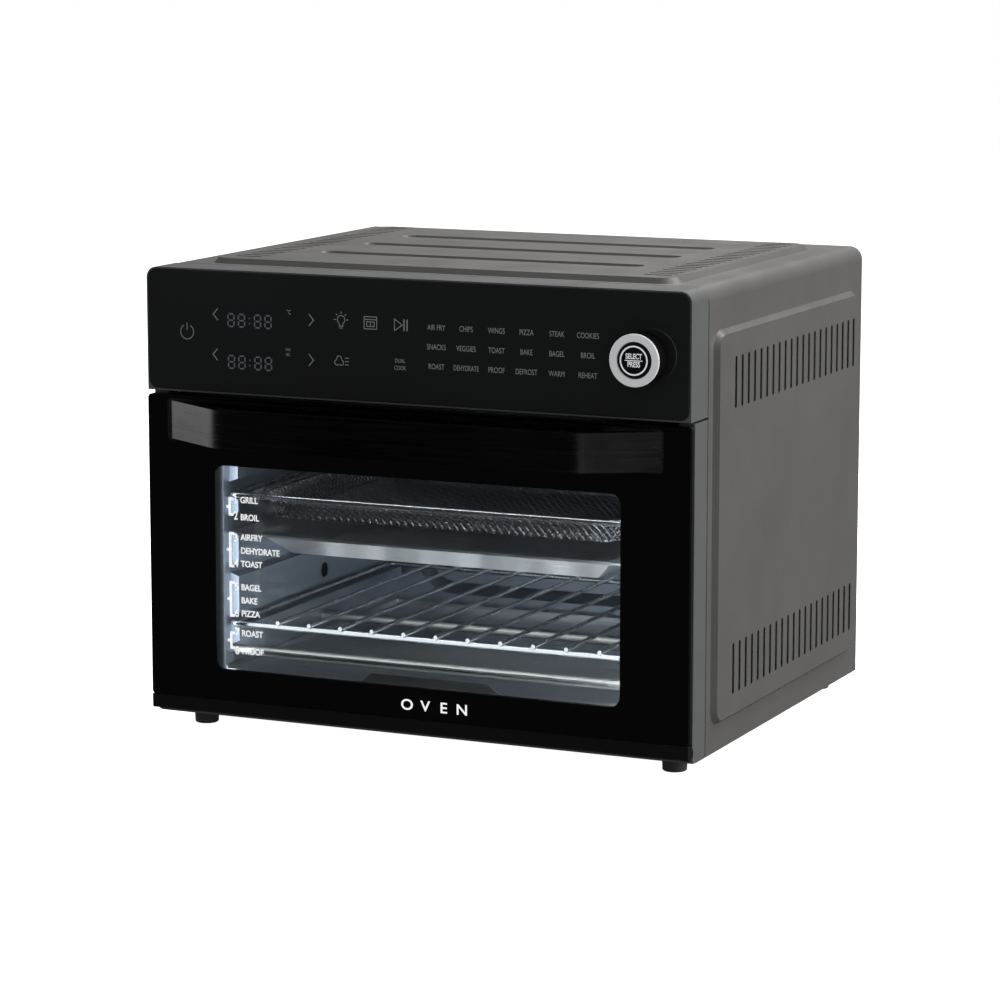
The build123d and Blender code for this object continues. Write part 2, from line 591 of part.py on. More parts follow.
def side_wall():
    """Right wall of the cavity: sheet with long pressed-in lands, which leave grooves for the trays."""
    wall = block((CAVITY_HALF, CAVITY_HALF + SHEET), WALL_Y, (CAVITY_FLOOR - SHEET, CAVITY_ROOF + SHEET))
    length = span(LAND_Y)
    for low, high in LANDS:
        solid = extrude(land_profile(low, high, LAND, 0), length, dir=(0, 1, 0))
        hollow = extrude(land_profile(low, high, LAND, SHEET), length - 2 * SHEET, dir=(0, 1, 0))
        wall += Pos(0, LAND_Y[0], 0) * solid
        wall -= Pos(0, LAND_Y[0] + SHEET, 0) * hollow
    return cut_all(wall, [rod_x(WALL_CUT, y, z, HEATER_R + 0.4) for y, z in HEATER_PLACES])


LAMP_Y = FRONT + 240.0
LAMP_Z = DOOR_BASE + 205.0
PROBE_Y = FRONT + 130.0
PROBE_Z = DOOR_BASE + 196.0
STEAM_HOLE = (FRONT + 179.0, DOOR_BASE + 79.0)


def cavity_right_wall():
    """Right wall, with the lamp's window and the hole for the temperature probe."""
    lamp_hole = rod_x(WALL_CUT, LAMP_Y, LAMP_Z, 14)
    probe_hole = rod_x(WALL_CUT, PROBE_Y, PROBE_Z, 3.2)
    return side_wall() - lamp_hole - probe_hole


def cavity_left_wall():
    """Left wall, with a round steam hole."""
    return mirror_x(side_wall() - rod_x((WALL_CUT[0] - LAND, WALL_CUT[1]), *STEAM_HOLE, 6))


def cavity_floor():
    """Floor sheet under the crumb tray."""
    return block((-CAVITY_HALF, CAVITY_HALF), WALL_Y, (CAVITY_FLOOR - SHEET, CAVITY_FLOOR))


def cavity_roof():
    """Roof sheet, with the fan shaft's hole."""
    roof = block((-CAVITY_HALF, CAVITY_HALF), WALL_Y, (CAVITY_ROOF, CAVITY_ROOF + SHEET))
    return roof - rod_z(FAN_X, FAN_Y, (CAVITY_ROOF - 1, CAVITY_ROOF + 3), 6)


BACK_FIELD = (306.0, 182.0, 36.0)   # width, height and corner radius


def cavity_back_wall():
    """Back wall, with a large rounded field pressed backwards."""
    z = (CAVITY_FLOOR - SHEET, CAVITY_ROOF + SHEET)
    wall = block((-CAVITY_HALF - SHEET, CAVITY_HALF + SHEET), (CAVITY_BACK, CAVITY_BACK + SHEET), z)
    centre = Pos(0, (CAVITY_FLOOR + CAVITY_ROOF) / 2 + 2)

    def pressed(wall_thickness):
        width, height, corner = BACK_FIELD
        outline = RectangleRounded(width - 2 * wall_thickness, height - 2 * wall_thickness, corner - 1)
        return extrude(Plane.XZ * centre * outline, -10, taper=40)
    return wall + Pos(0, CAVITY_BACK, 0) * pressed(0) - Pos(0, CAVITY_BACK - SHEET, 0) * pressed(SHEET)


def heater(y, z):
    """Straight sheathed heating element across the cavity, with a thinner terminal at each end."""
    tube = rod_x((-CAVITY_HALF - 14, CAVITY_HALF + 14), y, z, HEATER_R)
    return tube + rod_x((-CAVITY_HALF - 22, CAVITY_HALF + 22), y, z, 1.6)


def heater_insulators():
    """Ceramic bushes outside the side walls, one on each end of each heating element."""
    bushes = []
    for y, z in HEATER_PLACES:
        bush = tube_x((CAVITY_HALF + SHEET, CAVITY_HALF + 12), y, z, 8, HEATER_R)
        bushes += [bush, mirror_x(bush)]
    return Compound(children=bushes)


GUARD_HALF = 72.0
GUARD_DEPTH = 18.0


def fan_guard():
    """Perforated cover under the fan, with a flange that screws to the roof."""
    z = (CAVITY_ROOF - GUARD_DEPTH, CAVITY_ROOF)
    x = (FAN_X - GUARD_HALF, FAN_X + GUARD_HALF)
    y = (FAN_Y - GUARD_HALF, FAN_Y + GUARD_HALF)
    outer = plate_z(x, y, z, 14)
    inner = plate_z(inset(x, SHEET), inset(y, SHEET), (z[0] + SHEET, z[1] + 1), 14 - SHEET)
    pitch = 11.0
    holes = []
    for row in range(-5, 6):
        for column in range(-5, 6):
            if math.hypot(row, column) < 5.6:
                holes.append(rod_z(FAN_X + column * pitch, FAN_Y + row * pitch, (z[0] - 1, z[0] + 2), 3.4))
    return cut_all(outer - inner, holes)


FAN_Z = (CAVITY_ROOF - 14.0, CAVITY_ROOF - 3.0)
MOTOR_Z = (CAVITY_ROOF + 14.0, CAVITY_ROOF + 52.0)


def fan_blade():
    """Convection fan: a hub and disc with radial blades folded down from it."""
    wheel = rod_z(FAN_X, FAN_Y, (FAN_Z[1] - 1, FAN_Z[1]), FAN_R)
    wheel += rod_z(FAN_X, FAN_Y, (FAN_Z[0] + 2, FAN_Z[1]), 9)
    for step in range(8):
        blade = block((16, FAN_R - 2), (-0.6, 0.6), (FAN_Z[0], FAN_Z[1] - 0.5))
        wheel += Pos(FAN_X, FAN_Y, 0) * Rot(0, 0, step * 45 + 10) * blade
    return wheel - rod_z(FAN_X, FAN_Y, (FAN_Z[0] - 1, FAN_Z[1] + 1), SHAFT_R)


def fan_shaft():
    return rod_z(FAN_X, FAN_Y, (FAN_Z[0] - 1.5, MOTOR_Z[0] + 20), SHAFT_R)


def fan_nut():
    """Nut under the hub that holds the fan on its shaft."""
    nut = Pos(FAN_X, FAN_Y, FAN_Z[0] - 1.5) * extrude(RegularPolygon(5.5, 6), 3.4)
    return nut - rod_z(FAN_X, FAN_Y, (FAN_Z[0] - 3, FAN_Z[0] + 4), SHAFT_R)


def fan_motor():
    """Round motor above the roof, with the bore that the shaft turns in."""
    motor = rod_z(FAN_X, FAN_Y, MOTOR_Z, 30)
    motor += rod_z(FAN_X, FAN_Y, (MOTOR_Z[0] - 5, MOTOR_Z[0]), 9)
    motor += block((FAN_X - 16, FAN_X + 16), (FAN_Y + 20, FAN_Y + 44), (MOTOR_Z[0] + 6, MOTOR_Z[0] + 30))
    return motor - rod_z(FAN_X, FAN_Y, (MOTOR_Z[0] - 6, MOTOR_Z[0] + 22), SHAFT_R + RUNNING)


def motor_bracket():
    """Bridge that carries the motor over the roof."""
    top = block((FAN_X - 60, FAN_X + 60), (FAN_Y - 14, FAN_Y + 14), (MOTOR_Z[0] - 1.5, MOTOR_Z[0]))
    legs = [block((FAN_X + side * 60 - 0.75, FAN_X + side * 60 + 0.75), (FAN_Y - 14, FAN_Y + 14),
                  (CAVITY_ROOF + SHEET, MOTOR_Z[0])) for side in (-1, 1)]
    return top + legs[0] + legs[1] - rod_z(FAN_X, FAN_Y, (MOTOR_Z[0] - 3, MOTOR_Z[0] + 1), 9)


def lamp_lens():
    """Round heat-proof lens over the lamp, inside the cavity."""
    lens = rod_x((CAVITY_HALF - 4, CAVITY_HALF), LAMP_Y, LAMP_Z, 17)
    return fillet(lens.edges().group_by(Axis.X)[0], 2.5)


def lamp_socket():
    """Cup outside the right wall that holds the lamp."""
    x = (CAVITY_HALF + SHEET, CAVITY_HALF + 38)
    return rod_x(x, LAMP_Y, LAMP_Z, 17) - rod_x((x[0] - 1, x[1] - 8), LAMP_Y, LAMP_Z, 13.5)


def lamp_bulb():
    """Small capsule lamp in the socket."""
    bulb = rod_x((CAVITY_HALF + 4, CAVITY_HALF + 30), LAMP_Y, LAMP_Z, 8)
    return fillet(bulb.edges().group_by(Axis.X)[0], 6)


def temperature_probe():
    """Thin sensor that reaches into the cavity from the right wall, with a flange outside."""
    rod = rod_x((CAVITY_HALF - 32, CAVITY_HALF + 14), PROBE_Y, PROBE_Z, 2.5)
    return rod + rod_x((CAVITY_HALF + SHEET, CAVITY_HALF + 4), PROBE_Y, PROBE_Z, 7)


def thermal_cutoff():
    """Button thermostat on the roof, with its two terminals."""
    x = 95.0
    y = FRONT + 220.0
    base = CAVITY_ROOF + SHEET
    body = rod_z(x, y, (base, base + 7), 8)
    for side in (-4, 4):
        body += block((x + side - 0.4, x + side + 0.4), (y - 3, y + 3), (base + 7, base + 15))
    return body


def power_board():
    """Power supply board on the roof's left side, with its transformer, relays and capacitor."""
    base = CAVITY_ROOF + 12.0
    board = block((-150, -80), (FRONT + 90, FRONT + 210), (base, base + 1.6))
    board += block((-144, -112), (FRONT + 100, FRONT + 128), (base + 1.6, base + 24))
    for y in (FRONT + 140, FRONT + 164, FRONT + 188):
        board += block((-145, -125), (y, y + 16), (base + 1.6, base + 17))
    board += rod_z(-96, FRONT + 120, (base + 1.6, base + 20), 7)
    for x in (-145, -85):
        for y in (FRONT + 95, FRONT + 205):
            board += rod_z(x, y, (CAVITY_ROOF + SHEET, base), 3)
    return board


# ---- trays ---------------------------------------------------------------------------------------------
TRAY_FRONT = FRONT + 29.0
RACK_REST = DOOR_BASE + LANDS[0][1] + TRAY_CLEAR
PAN_REST = DOOR_BASE + LANDS[2][1] + TRAY_CLEAR
BASKET_REST = DOOR_BASE + LANDS[3][1] + TRAY_CLEAR
TRAY_HALF = CAVITY_HALF - 1.5
WIRE_R = 2.0
RACK_WIRES = 11
RACK_PITCH = 25.9
RACK_FIRST = -122.4
RACK_WIRE_R = 1.6


def wire_rack():
    """Grill rack: a wire frame with cross wires that run from front to back on top of it."""
    z = RACK_REST + WIRE_R
    front = TRAY_FRONT + WIRE_R
    back = front + 270
    rack = wire_loop(TRAY_HALF, (front - WIRE_R, back + WIRE_R), z, WIRE_R, 6)
    for step in range(RACK_WIRES):
        rack += rod_y(RACK_FIRST + step * RACK_PITCH, (front - 2.5, back + 2.5), z + 3.3, RACK_WIRE_R)
    return rack


PAN_HALF = 141.0
PAN_DEPTH = 250.0
PAN_SLOPE = 41.0           # degrees of the pan's walls above the level
PAN_SHEET = 1.2
PAN_HEM = 1.7              # height of the pan's front hem
BASKET_HALF = 148.0
BASKET_DEPTH = 250.0
BASKET_CORNER = 28.0
BASKET_TAPER = 25.0        # degrees that the basket's walls lean in
BASKET_WALL = 1.2
TRAY_DROP = 17.0           # depth of the pan and of the basket
TRAY_BORDER = 10.0         # rim in front of and behind each tray's mouth


def tray_rim(half, depth, z, thick):
    """Flat rim that reaches from a pan's mouth out to the side grooves."""
    y = (TRAY_FRONT, TRAY_FRONT + depth + 2 * TRAY_BORDER)
    mouth = block((-half, half), inset(y, TRAY_BORDER), (z - 1, z + thick + 1))
    return plate_z((-TRAY_HALF, TRAY_HALF), y, (z, z + thick), 8) - mouth


def mitred_well(half, depth, top, drop):
    """Rectangular well with sloping sides that meet in sharp mitres, centred on the origin in X and Y."""
    run = drop / math.tan(math.radians(PAN_SLOPE))
    mouth = Pos(0, 0, top) * Rectangle(2 * half, depth)
    bottom = Pos(0, 0, top - drop) * Rectangle(2 * (half - run), depth - 2 * run)
    return loft([mouth, bottom])


def baking_pan():
    """Bright steel baking pan that hangs by its rim in a pair of grooves."""
    top = PAN_REST + PAN_SHEET
    wall = PAN_SHEET / math.sin(math.radians(PAN_SLOPE))
    outer = mitred_well(PAN_HALF + wall, PAN_DEPTH + 2 * wall, top, TRAY_DROP)
    shell = outer - mitred_well(PAN_HALF, PAN_DEPTH, top, TRAY_DROP - PAN_SHEET)
    hem_z = (PAN_REST, PAN_REST + PAN_HEM)
    hem = block((-TRAY_HALF + 8, TRAY_HALF - 8), (TRAY_FRONT, TRAY_FRONT + 1.5), hem_z)
    place = Pos(0, TRAY_FRONT + TRAY_BORDER + PAN_DEPTH / 2, 0)
    return place * shell + tray_rim(PAN_HALF, PAN_DEPTH, PAN_REST, PAN_SHEET) + hem


def basket_mesh():
    """Mesh tray of the air-fry basket, as the thin shell that the mesh fills."""
    def well(wall):
        outline = RectangleRounded(2 * (BASKET_HALF - wall), BASKET_DEPTH - 2 * wall, BASKET_CORNER - wall)
        return extrude(outline, -(TRAY_DROP - wall), taper=BASKET_TAPER)
    place = Pos(0, TRAY_FRONT + TRAY_BORDER + BASKET_DEPTH / 2, BASKET_REST + 1.6)
    return place * (well(0) - Pos(0, 0, 0.001) * well(BASKET_WALL))


def basket_frame():
    """Wire rim of the air-fry basket, which rides in the top pair of grooves."""
    z = BASKET_REST + WIRE_R
    y = (TRAY_FRONT, TRAY_FRONT + BASKET_DEPTH + 2 * TRAY_BORDER)
    frame = wire_loop(TRAY_HALF, y, z, WIRE_R, 8)
    for side in (-1, 1):
        frame += rod_y(side * (BASKET_HALF + 3), inset(y, WIRE_R), z, 1.5)
    return frame


CRUMB_HALF = CAVITY_HALF - 1.0
CRUMB_EDGE = 4.0           # height of the turned-up sides and back
CRUMB_LIP = 2.2
GRIP_FOOT = (-53.3, 57.4)
GRIP_TOP = (-45.6, 48.3)
GRIP_HEIGHT = 9.0


def crumb_tray():
    """Sheet tray on the cavity floor, with a raised grip in the middle of its front edge."""
    z = CAVITY_FLOOR + TRAY_CLEAR
    y = (TRAY_FRONT, CAVITY_BACK - 8)
    edge_z = (z, z + CRUMB_EDGE)
    side = block((CRUMB_HALF - SHEET, CRUMB_HALF), y, edge_z)
    tray = block((-CRUMB_HALF, CRUMB_HALF), y, (z, z + SHEET)) + side + mirror_x(side)
    tray += block((-CRUMB_HALF, CRUMB_HALF), (y[1] - SHEET, y[1]), edge_z)
    lip = [(-CRUMB_HALF, 0), (CRUMB_HALF, 0), (CRUMB_HALF, CRUMB_LIP), (GRIP_FOOT[1], CRUMB_LIP)]
    grip = [(GRIP_TOP[1], GRIP_HEIGHT), (GRIP_TOP[0], GRIP_HEIGHT)]
    outline = Polyline(lip + grip + [(GRIP_FOOT[0], CRUMB_LIP), (-CRUMB_HALF, CRUMB_LIP)], close=True)
    front = extrude(Plane.XZ * make_face(outline), 1.0, dir=(0, 1, 0))
    shoulders = [edge for edge in front.edges().filter_by(Axis.Y) if edge.center().Z > GRIP_HEIGHT - 1]
    return tray + Pos(0, y[0], z) * fillet(shoulders, 5)


# ---- the whole oven ------------------------------------------------------------------------------------
def parts():
    """Every sub-part by name."""
    made = {
        "outer_wrap": outer_wrap(),
        "back_panel": back_panel(),
        "base_plate": base_plate(),
        "cord_gland": cord_gland(),
        "foot_screws": foot_screws(),
        "rear_screws": rear_screws(),
        "control_housing": control_housing(),
        "control_glass": control_glass(),
        "displays": displays(),
        "control_board": control_board(),
        "rotary_encoder": rotary_encoder(),
        "dial_knob": dial_knob(),
        "dial_ring": dial_ring(),
        "select_button": select_button(),
        "front_frame": front_frame(),
        "door_rail": door_rail(),
        "hinge_pins": hinge_pins(),
        "door_glass": door_glass(),
        "door_mask": door_mask(),
        "door_front_pan": door_front_pan(),
        "door_inner_pan": door_inner_pan(),
        "inner_glass": inner_glass(),
        "glass_clips": glass_clips(),
        "handle_bar": handle_bar(),
        "handle_base": handle_base(),
        "handle_screws": handle_screws(),
        "cavity_front_frame": cavity_front_frame(),
        "cavity_left_wall": cavity_left_wall(),
        "cavity_right_wall": cavity_right_wall(),
        "cavity_floor": cavity_floor(),
        "cavity_roof": cavity_roof(),
        "cavity_back_wall": cavity_back_wall(),
        "heater_insulators": heater_insulators(),
        "fan_guard": fan_guard(),
        "fan_blade": fan_blade(),
        "fan_shaft": fan_shaft(),
        "fan_nut": fan_nut(),
        "fan_motor": fan_motor(),
        "motor_bracket": motor_bracket(),
        "lamp_lens": lamp_lens(),
        "lamp_socket": lamp_socket(),
        "lamp_bulb": lamp_bulb(),
        "temperature_probe": temperature_probe(),
        "thermal_cutoff": thermal_cutoff(),
        "power_board": power_board(),
        "wire_rack": wire_rack(),
        "baking_pan": baking_pan(),
        "basket_frame": basket_frame(),
        "basket_mesh": basket_mesh(),
        "crumb_tray": crumb_tray(),
    }
    for side, x in (("left", -1), ("right", 1)):
        made[f"hinge_leaf_{side}"] = hinge_leaf(x * HINGE_X)
        for end, y in zip(("front", "rear"), FEET_Y):
            made[f"foot_{end}_{side}"] = foot(x * FEET_X, y)
    for place, y in zip(("front", "rear"), LOWER_HEATERS):
        made[f"lower_heater_{place}"] = heater(y, LOWER_HEATER_Z)
    for place, y in zip(("front", "rear"), UPPER_HEATERS):
        made[f"upper_heater_{place}"] = heater(y, UPPER_HEATER_Z)
    return made


os.makedirs("parts", exist_ok=True)
for name, shape in parts().items():
    export_step(shape, f"parts/{name}.step")
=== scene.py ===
import bpy
import bmesh
import json
import math
from mathutils import Matrix, Vector


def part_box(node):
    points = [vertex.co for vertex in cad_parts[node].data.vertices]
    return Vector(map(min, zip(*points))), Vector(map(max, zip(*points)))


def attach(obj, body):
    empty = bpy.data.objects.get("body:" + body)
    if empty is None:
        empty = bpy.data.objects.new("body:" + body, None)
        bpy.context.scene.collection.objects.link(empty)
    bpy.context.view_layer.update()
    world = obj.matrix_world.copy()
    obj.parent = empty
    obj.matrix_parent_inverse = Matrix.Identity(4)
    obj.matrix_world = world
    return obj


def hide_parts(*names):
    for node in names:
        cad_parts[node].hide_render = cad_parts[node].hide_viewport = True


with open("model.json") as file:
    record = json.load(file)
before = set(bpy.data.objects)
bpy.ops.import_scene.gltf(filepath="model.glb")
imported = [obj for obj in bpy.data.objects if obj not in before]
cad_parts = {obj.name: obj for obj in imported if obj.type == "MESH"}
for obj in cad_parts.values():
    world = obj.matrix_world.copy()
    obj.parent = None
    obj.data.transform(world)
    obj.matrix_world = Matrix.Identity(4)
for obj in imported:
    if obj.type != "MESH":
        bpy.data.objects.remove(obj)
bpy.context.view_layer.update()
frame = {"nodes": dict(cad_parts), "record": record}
NODES = frame["nodes"]
MM = 0.001

# ---- places read from the frame ------------------------------------------------------------------------
DIAL_LOW, DIAL_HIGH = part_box("dial_knob")
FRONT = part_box("door_glass")[0].y
PANEL_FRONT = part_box("control_glass")[0].y
DOOR_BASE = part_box("door_rail")[0].z
DIAL_X = (DIAL_LOW.x + DIAL_HIGH.x) / 2
DIAL_Z = (DIAL_LOW.z + DIAL_HIGH.z) / 2
PRINT_GAP = 0.04 * MM      # printing stands this far in front of its surface


# ---- materials -----------------------------------------------------------------------------------------
class Shader:
    """A material being built: its node tree, its Principled shader and short ways to add nodes."""

    def __init__(self, name):
        self.material = bpy.data.materials.new(name)
        self.material.use_nodes = True
        self.tree = self.material.node_tree
        self.shader = self.tree.nodes["Principled BSDF"]
        self.output = self.tree.nodes["Material Output"]

    def node(self, kind, **values):
        made = self.tree.nodes.new(kind)
        for key, value in values.items():
            setattr(made, key, value)
        return made

    def link(self, source, target):
        self.tree.links.new(source, target)

    def place(self, scale=(1, 1, 1)):
        """Object coordinates, stretched by scale."""
        coordinates = self.node("ShaderNodeTexCoord")
        mapping = self.node("ShaderNodeMapping")
        mapping.inputs["Scale"].default_value = scale
        self.link(coordinates.outputs["Object"], mapping.inputs["Vector"])
        return mapping.outputs["Vector"]

    def noise(self, scale, detail=2.0, stretch=(1, 1, 1), rough=0.5):
        made = self.node("ShaderNodeTexNoise")
        made.inputs["Scale"].default_value = scale
        made.inputs["Detail"].default_value = detail
        made.inputs["Roughness"].default_value = rough
        self.link(self.place(stretch), made.inputs["Vector"])
        return made.outputs["Fac"]

    def spread(self, source, low, high):
        """source, from about 0.3 to 0.7, mapped to the range low to high."""
        made = self.node("ShaderNodeMapRange")
        made.inputs["From Min"].default_value = 0.3
        made.inputs["From Max"].default_value = 0.7
        made.inputs["To Min"].default_value = low
        made.inputs["To Max"].default_value = high
        self.link(source, made.inputs["Value"])
        return made.outputs["Result"]

    def colours(self, source, dark, light):
        made = self.node("ShaderNodeMix", data_type="RGBA")
        made.inputs["A"].default_value = (*dark, 1)
        made.inputs["B"].default_value = (*light, 1)
        self.link(self.spread(source, 0, 1), made.inputs["Factor"])
        return made.outputs["Result"]

    def bump(self, source, distance):
        made = self.node("ShaderNodeBump")
        made.inputs["Distance"].default_value = distance
        made.inputs["Strength"].default_value = 1.0
        self.link(source, made.inputs["Height"])
        self.link(made.outputs["Normal"], self.shader.inputs["Normal"])

    def lets_lamps_through(self):
        """Shadow rays pass the glass, so that lamps light what is behind it."""
        path = self.node("ShaderNodeLightPath")
        clear = self.node("ShaderNodeBsdfTransparent")
        mix = self.node("ShaderNodeMixShader")
        self.link(path.outputs["Is Shadow Ray"], mix.inputs["Fac"])
        self.link(self.shader.outputs["BSDF"], mix.inputs[1])
        self.link(clear.outputs["BSDF"], mix.inputs[2])
        self.link(mix.outputs["Shader"], self.output.inputs["Surface"])


def shade(colour, factor):
    return tuple(channel * factor for channel in colour)


def painted(name, colour, rough, grain=2600, depth=0.012, cloud=0.06):
    """Powder coat, rubber or moulded plastic: fine orange-peel grain, slight cloudiness and uneven gloss."""
    s = Shader(name)
    cloudy = s.colours(s.noise(9, 3), shade(colour, 1 - cloud), shade(colour, 1 + cloud))
    s.link(cloudy, s.shader.inputs["Base Color"])
    s.link(s.spread(s.noise(28, 4), rough - 0.05, rough + 0.05), s.shader.inputs["Roughness"])
    s.bump(s.noise(grain, 2), depth * MM)
    return s.material


def glossy(name, colour, rough, specular=0.5):
    """Black-backed glass or gloss plastic: deep colour with faint wipe marks in the gloss."""
    s = Shader(name)
    s.shader.inputs["Specular IOR Level"].default_value = specular
    cloudy = s.colours(s.noise(5, 2), shade(colour, 0.85), shade(colour, 1.15))
    s.link(cloudy, s.shader.inputs["Base Color"])
    s.link(s.spread(s.noise(14, 5, (1, 1, 2.2)), rough, rough + 0.05), s.shader.inputs["Roughness"])
    s.bump(s.noise(120, 2), 0.002 * MM)
    return s.material


def brushed(name, colour, rough, stretch, metallic=1.0, contrast=0.12, depth=0.01, painted_glow=0.0):
    """Rolled or brushed metal: fine scratches, drawn out along one direction by stretch, and where asked an
    emission of its own colour that makes it glow though it is no lamp: painted light.
    """
    s = Shader(name)
    s.shader.inputs["Emission Color"].default_value = (*colour, 1)
    s.shader.inputs["Emission Strength"].default_value = painted_glow
    s.shader.inputs["Metallic"].default_value = metallic
    s.shader.inputs["Anisotropic"].default_value = 0.5
    lines = s.noise(900, 4, stretch, 0.7)
    cloud = s.noise(11, 3)
    both = s.node("ShaderNodeMath", operation="ADD")
    half = s.node("ShaderNodeMath", operation="MULTIPLY")
    s.link(lines, both.inputs[0])
    s.link(cloud, both.inputs[1])
    s.link(both.outputs["Value"], half.inputs[0])
    half.inputs[1].default_value = 0.5
    streaky = s.colours(half.outputs["Value"], shade(colour, 1 - contrast), shade(colour, 1 + contrast))
    s.link(streaky, s.shader.inputs["Base Color"])
    s.link(s.spread(lines, rough - 0.07, rough + 0.1), s.shader.inputs["Roughness"])
    s.bump(lines, depth * MM)
    return s.material


def clear_glass(name, colour):
    """Clear glass that lets lamps through, with faint smears."""
    s = Shader(name)
    s.shader.inputs["Base Color"].default_value = (*colour, 1)
    s.shader.inputs["Transmission Weight"].default_value = 1.0
    s.shader.inputs["IOR"].default_value = 1.45
    s.link(s.spread(s.noise(7, 4), 0, 0.02), s.shader.inputs["Roughness"])
    s.lets_lamps_through()
    return s.material


def printed(name, colour, painted_glow):
    """Screen-printed ink: even colour with pinholes and a slightly uneven film, with an emission of its own
    colour that makes it glow though it is no lamp: painted light.
    """
    s = Shader(name)
    speckled = s.colours(s.noise(700, 2), shade(colour, 0.93), shade(colour, 1.05))
    s.link(speckled, s.shader.inputs["Base Color"])
    s.link(s.spread(s.noise(300, 2), 0.45, 0.6), s.shader.inputs["Roughness"])
    s.shader.inputs["Emission Color"].default_value = (*colour, 1)
    s.shader.inputs["Emission Strength"].default_value = painted_glow
    s.bump(s.noise(900, 2), 0.004 * MM)
    return s.material


FINISH = {
    "housing_paint": painted("housing_paint", (0.122, 0.118, 0.112), rough=0.40),
    "bezel_grey": painted("bezel_grey", (0.128, 0.128, 0.128), rough=0.36, grain=1800, depth=0.006,
                          cloud=0.03),
    "panel_glass": glossy("panel_glass", (0.021, 0.021, 0.021), rough=0.05),
    "display_smoke": glossy("display_smoke", (0.02, 0.02, 0.022), rough=0.12),
    "door_glass": clear_glass("door_glass", (0.93, 0.96, 0.97)),
    "clear_glass": clear_glass("clear_glass", (0.95, 0.97, 0.98)),
    "mask_black": glossy("mask_black", (0.014, 0.014, 0.014), rough=0.35, specular=0.2),
    "door_black": painted("door_black", (0.008, 0.008, 0.008), rough=0.33, grain=2200, depth=0.006),
    "handle_black": brushed("handle_black", (0.040, 0.040, 0.040), 0.22, (0.012, 0.012, 0.40), contrast=0.9,
                            depth=0.05),
    "handle_trim": brushed("handle_trim", (0.16, 0.16, 0.16), 0.22, (0.05, 1, 1)),
    "cavity_steel": brushed("cavity_steel", (0.34, 0.38, 0.44), 0.36, (0.08, 0.02, 1), metallic=0.93,
                            contrast=0.05, depth=0.004),
    "heater_steel": brushed("heater_steel", (0.55, 0.55, 0.54), 0.30, (0.03, 1, 1)),
    "pan_steel": brushed("pan_steel", (0.52, 0.53, 0.54), 0.32, (0.03, 0.3, 1), contrast=0.06),
    "chrome_wire": brushed("chrome_wire", (0.55, 0.56, 0.57), 0.22, (1, 0.1, 1), contrast=0.08),
    # The select dial's emission is painted light: it makes the dial glow as if a lamp were aimed at it.
    "dial_metal": brushed("dial_metal", (0.88, 0.88, 0.87), 0.35, (1, 1, 1), metallic=0.15, contrast=0.04,
                          painted_glow=0.22),
    "black_plastic": glossy("black_plastic", (0.008, 0.008, 0.009), rough=0.14),
    "zinc_steel": brushed("zinc_steel", (0.40, 0.41, 0.43), 0.38, (0.4, 1, 1), contrast=0.12),
    "screw_steel": brushed("screw_steel", (0.50, 0.50, 0.49), 0.30, (1, 1, 0.2)),
    "motor_metal": brushed("motor_metal", (0.30, 0.30, 0.30), 0.40, (1, 1, 0.05), contrast=0.2),
    "ceramic": painted("ceramic", (0.72, 0.69, 0.63), rough=0.5, grain=1500, depth=0.02),
    "circuit_board": painted("circuit_board", (0.02, 0.09, 0.045), rough=0.35, grain=700, depth=0.03,
                             cloud=0.3),
    # A darker copy of chrome_wire for the basket's wires: painted shade.
    "dark_wire": brushed("dark_wire", (0.075, 0.076, 0.080), 0.45, (1, 0.1, 1), contrast=0.1),
    # Near-black finish of the sheets behind the vents: painted shade.
    "shield": painted("shield", (0.006, 0.006, 0.006), rough=0.7, grain=900, depth=0.01),
    "foot_rubber": painted("foot_rubber", (0.045, 0.043, 0.041), rough=0.62, grain=1300, depth=0.03),
}
# Ink colours, each with a painted glow: an emission that makes the printing glow though it is no lamp.
INK_AND_PAINTED_GLOW = {
    "panel": printed("panel_ink_painted_glow", (0.30, 0.30, 0.30), painted_glow=0.15),
    "faint": printed("faint_ink_painted_glow", (0.12, 0.12, 0.12), painted_glow=0.3),
    "door": printed("door_ink_painted_glow", (0.90, 0.90, 0.90), painted_glow=0.75),
    "dial": printed("dial_ink_painted_glow", (0.85, 0.85, 0.85), painted_glow=0.4),
}

for entry in frame["record"]["subparts"]:
    mesh = NODES[entry["node"]].data
    mesh.materials.clear()
    mesh.materials.append(FINISH[entry["material_slot"]])


# ---- flat printing on the front faces ------------------------------------------------------------------
def ribbon(bm, points, width, closed=False):
    """Flat stroke in the XZ plane with mitred corners."""
    count = len(points)
    ring = []
    for index, point in enumerate(points):
        here = Vector(point)
        before = Vector(points[(index - 1) % count]) if closed or index > 0 else None
        after = Vector(points[(index + 1) % count]) if closed or index < count - 1 else None
        along_in = (here - before).normalized() if before is not None else None
        along_out = (after - here).normalized() if after is not None else None
        along_in = along_in or along_out
        along_out = along_out or along_in
        normal_in = Vector((-along_in.y, along_in.x))
        normal_out = Vector((-along_out.y, along_out.x))
        middle = (normal_in + normal_out).normalized()
        reach = width / 2 / max(0.4, middle.dot(normal_in))
        ring.append((bm.verts.new((here.x + middle.x * reach, 0, here.y + middle.y * reach)),
                     bm.verts.new((here.x - middle.x * reach, 0, here.y - middle.y * reach))))
    for index in range(count if closed else count - 1):
        a, b = ring[index], ring[(index + 1) % count]
        bm.faces.new((a[0], a[1], b[1], b[0]))


def arc(centre, radius, start, end, steps=24):
    """Points on an arc, with angles in degrees from +X."""
    angles = [math.radians(start + (end - start) * step / steps) for step in range(steps + 1)]
    return [(centre[0] + radius * math.cos(a), centre[1] + radius * math.sin(a)) for a in angles]


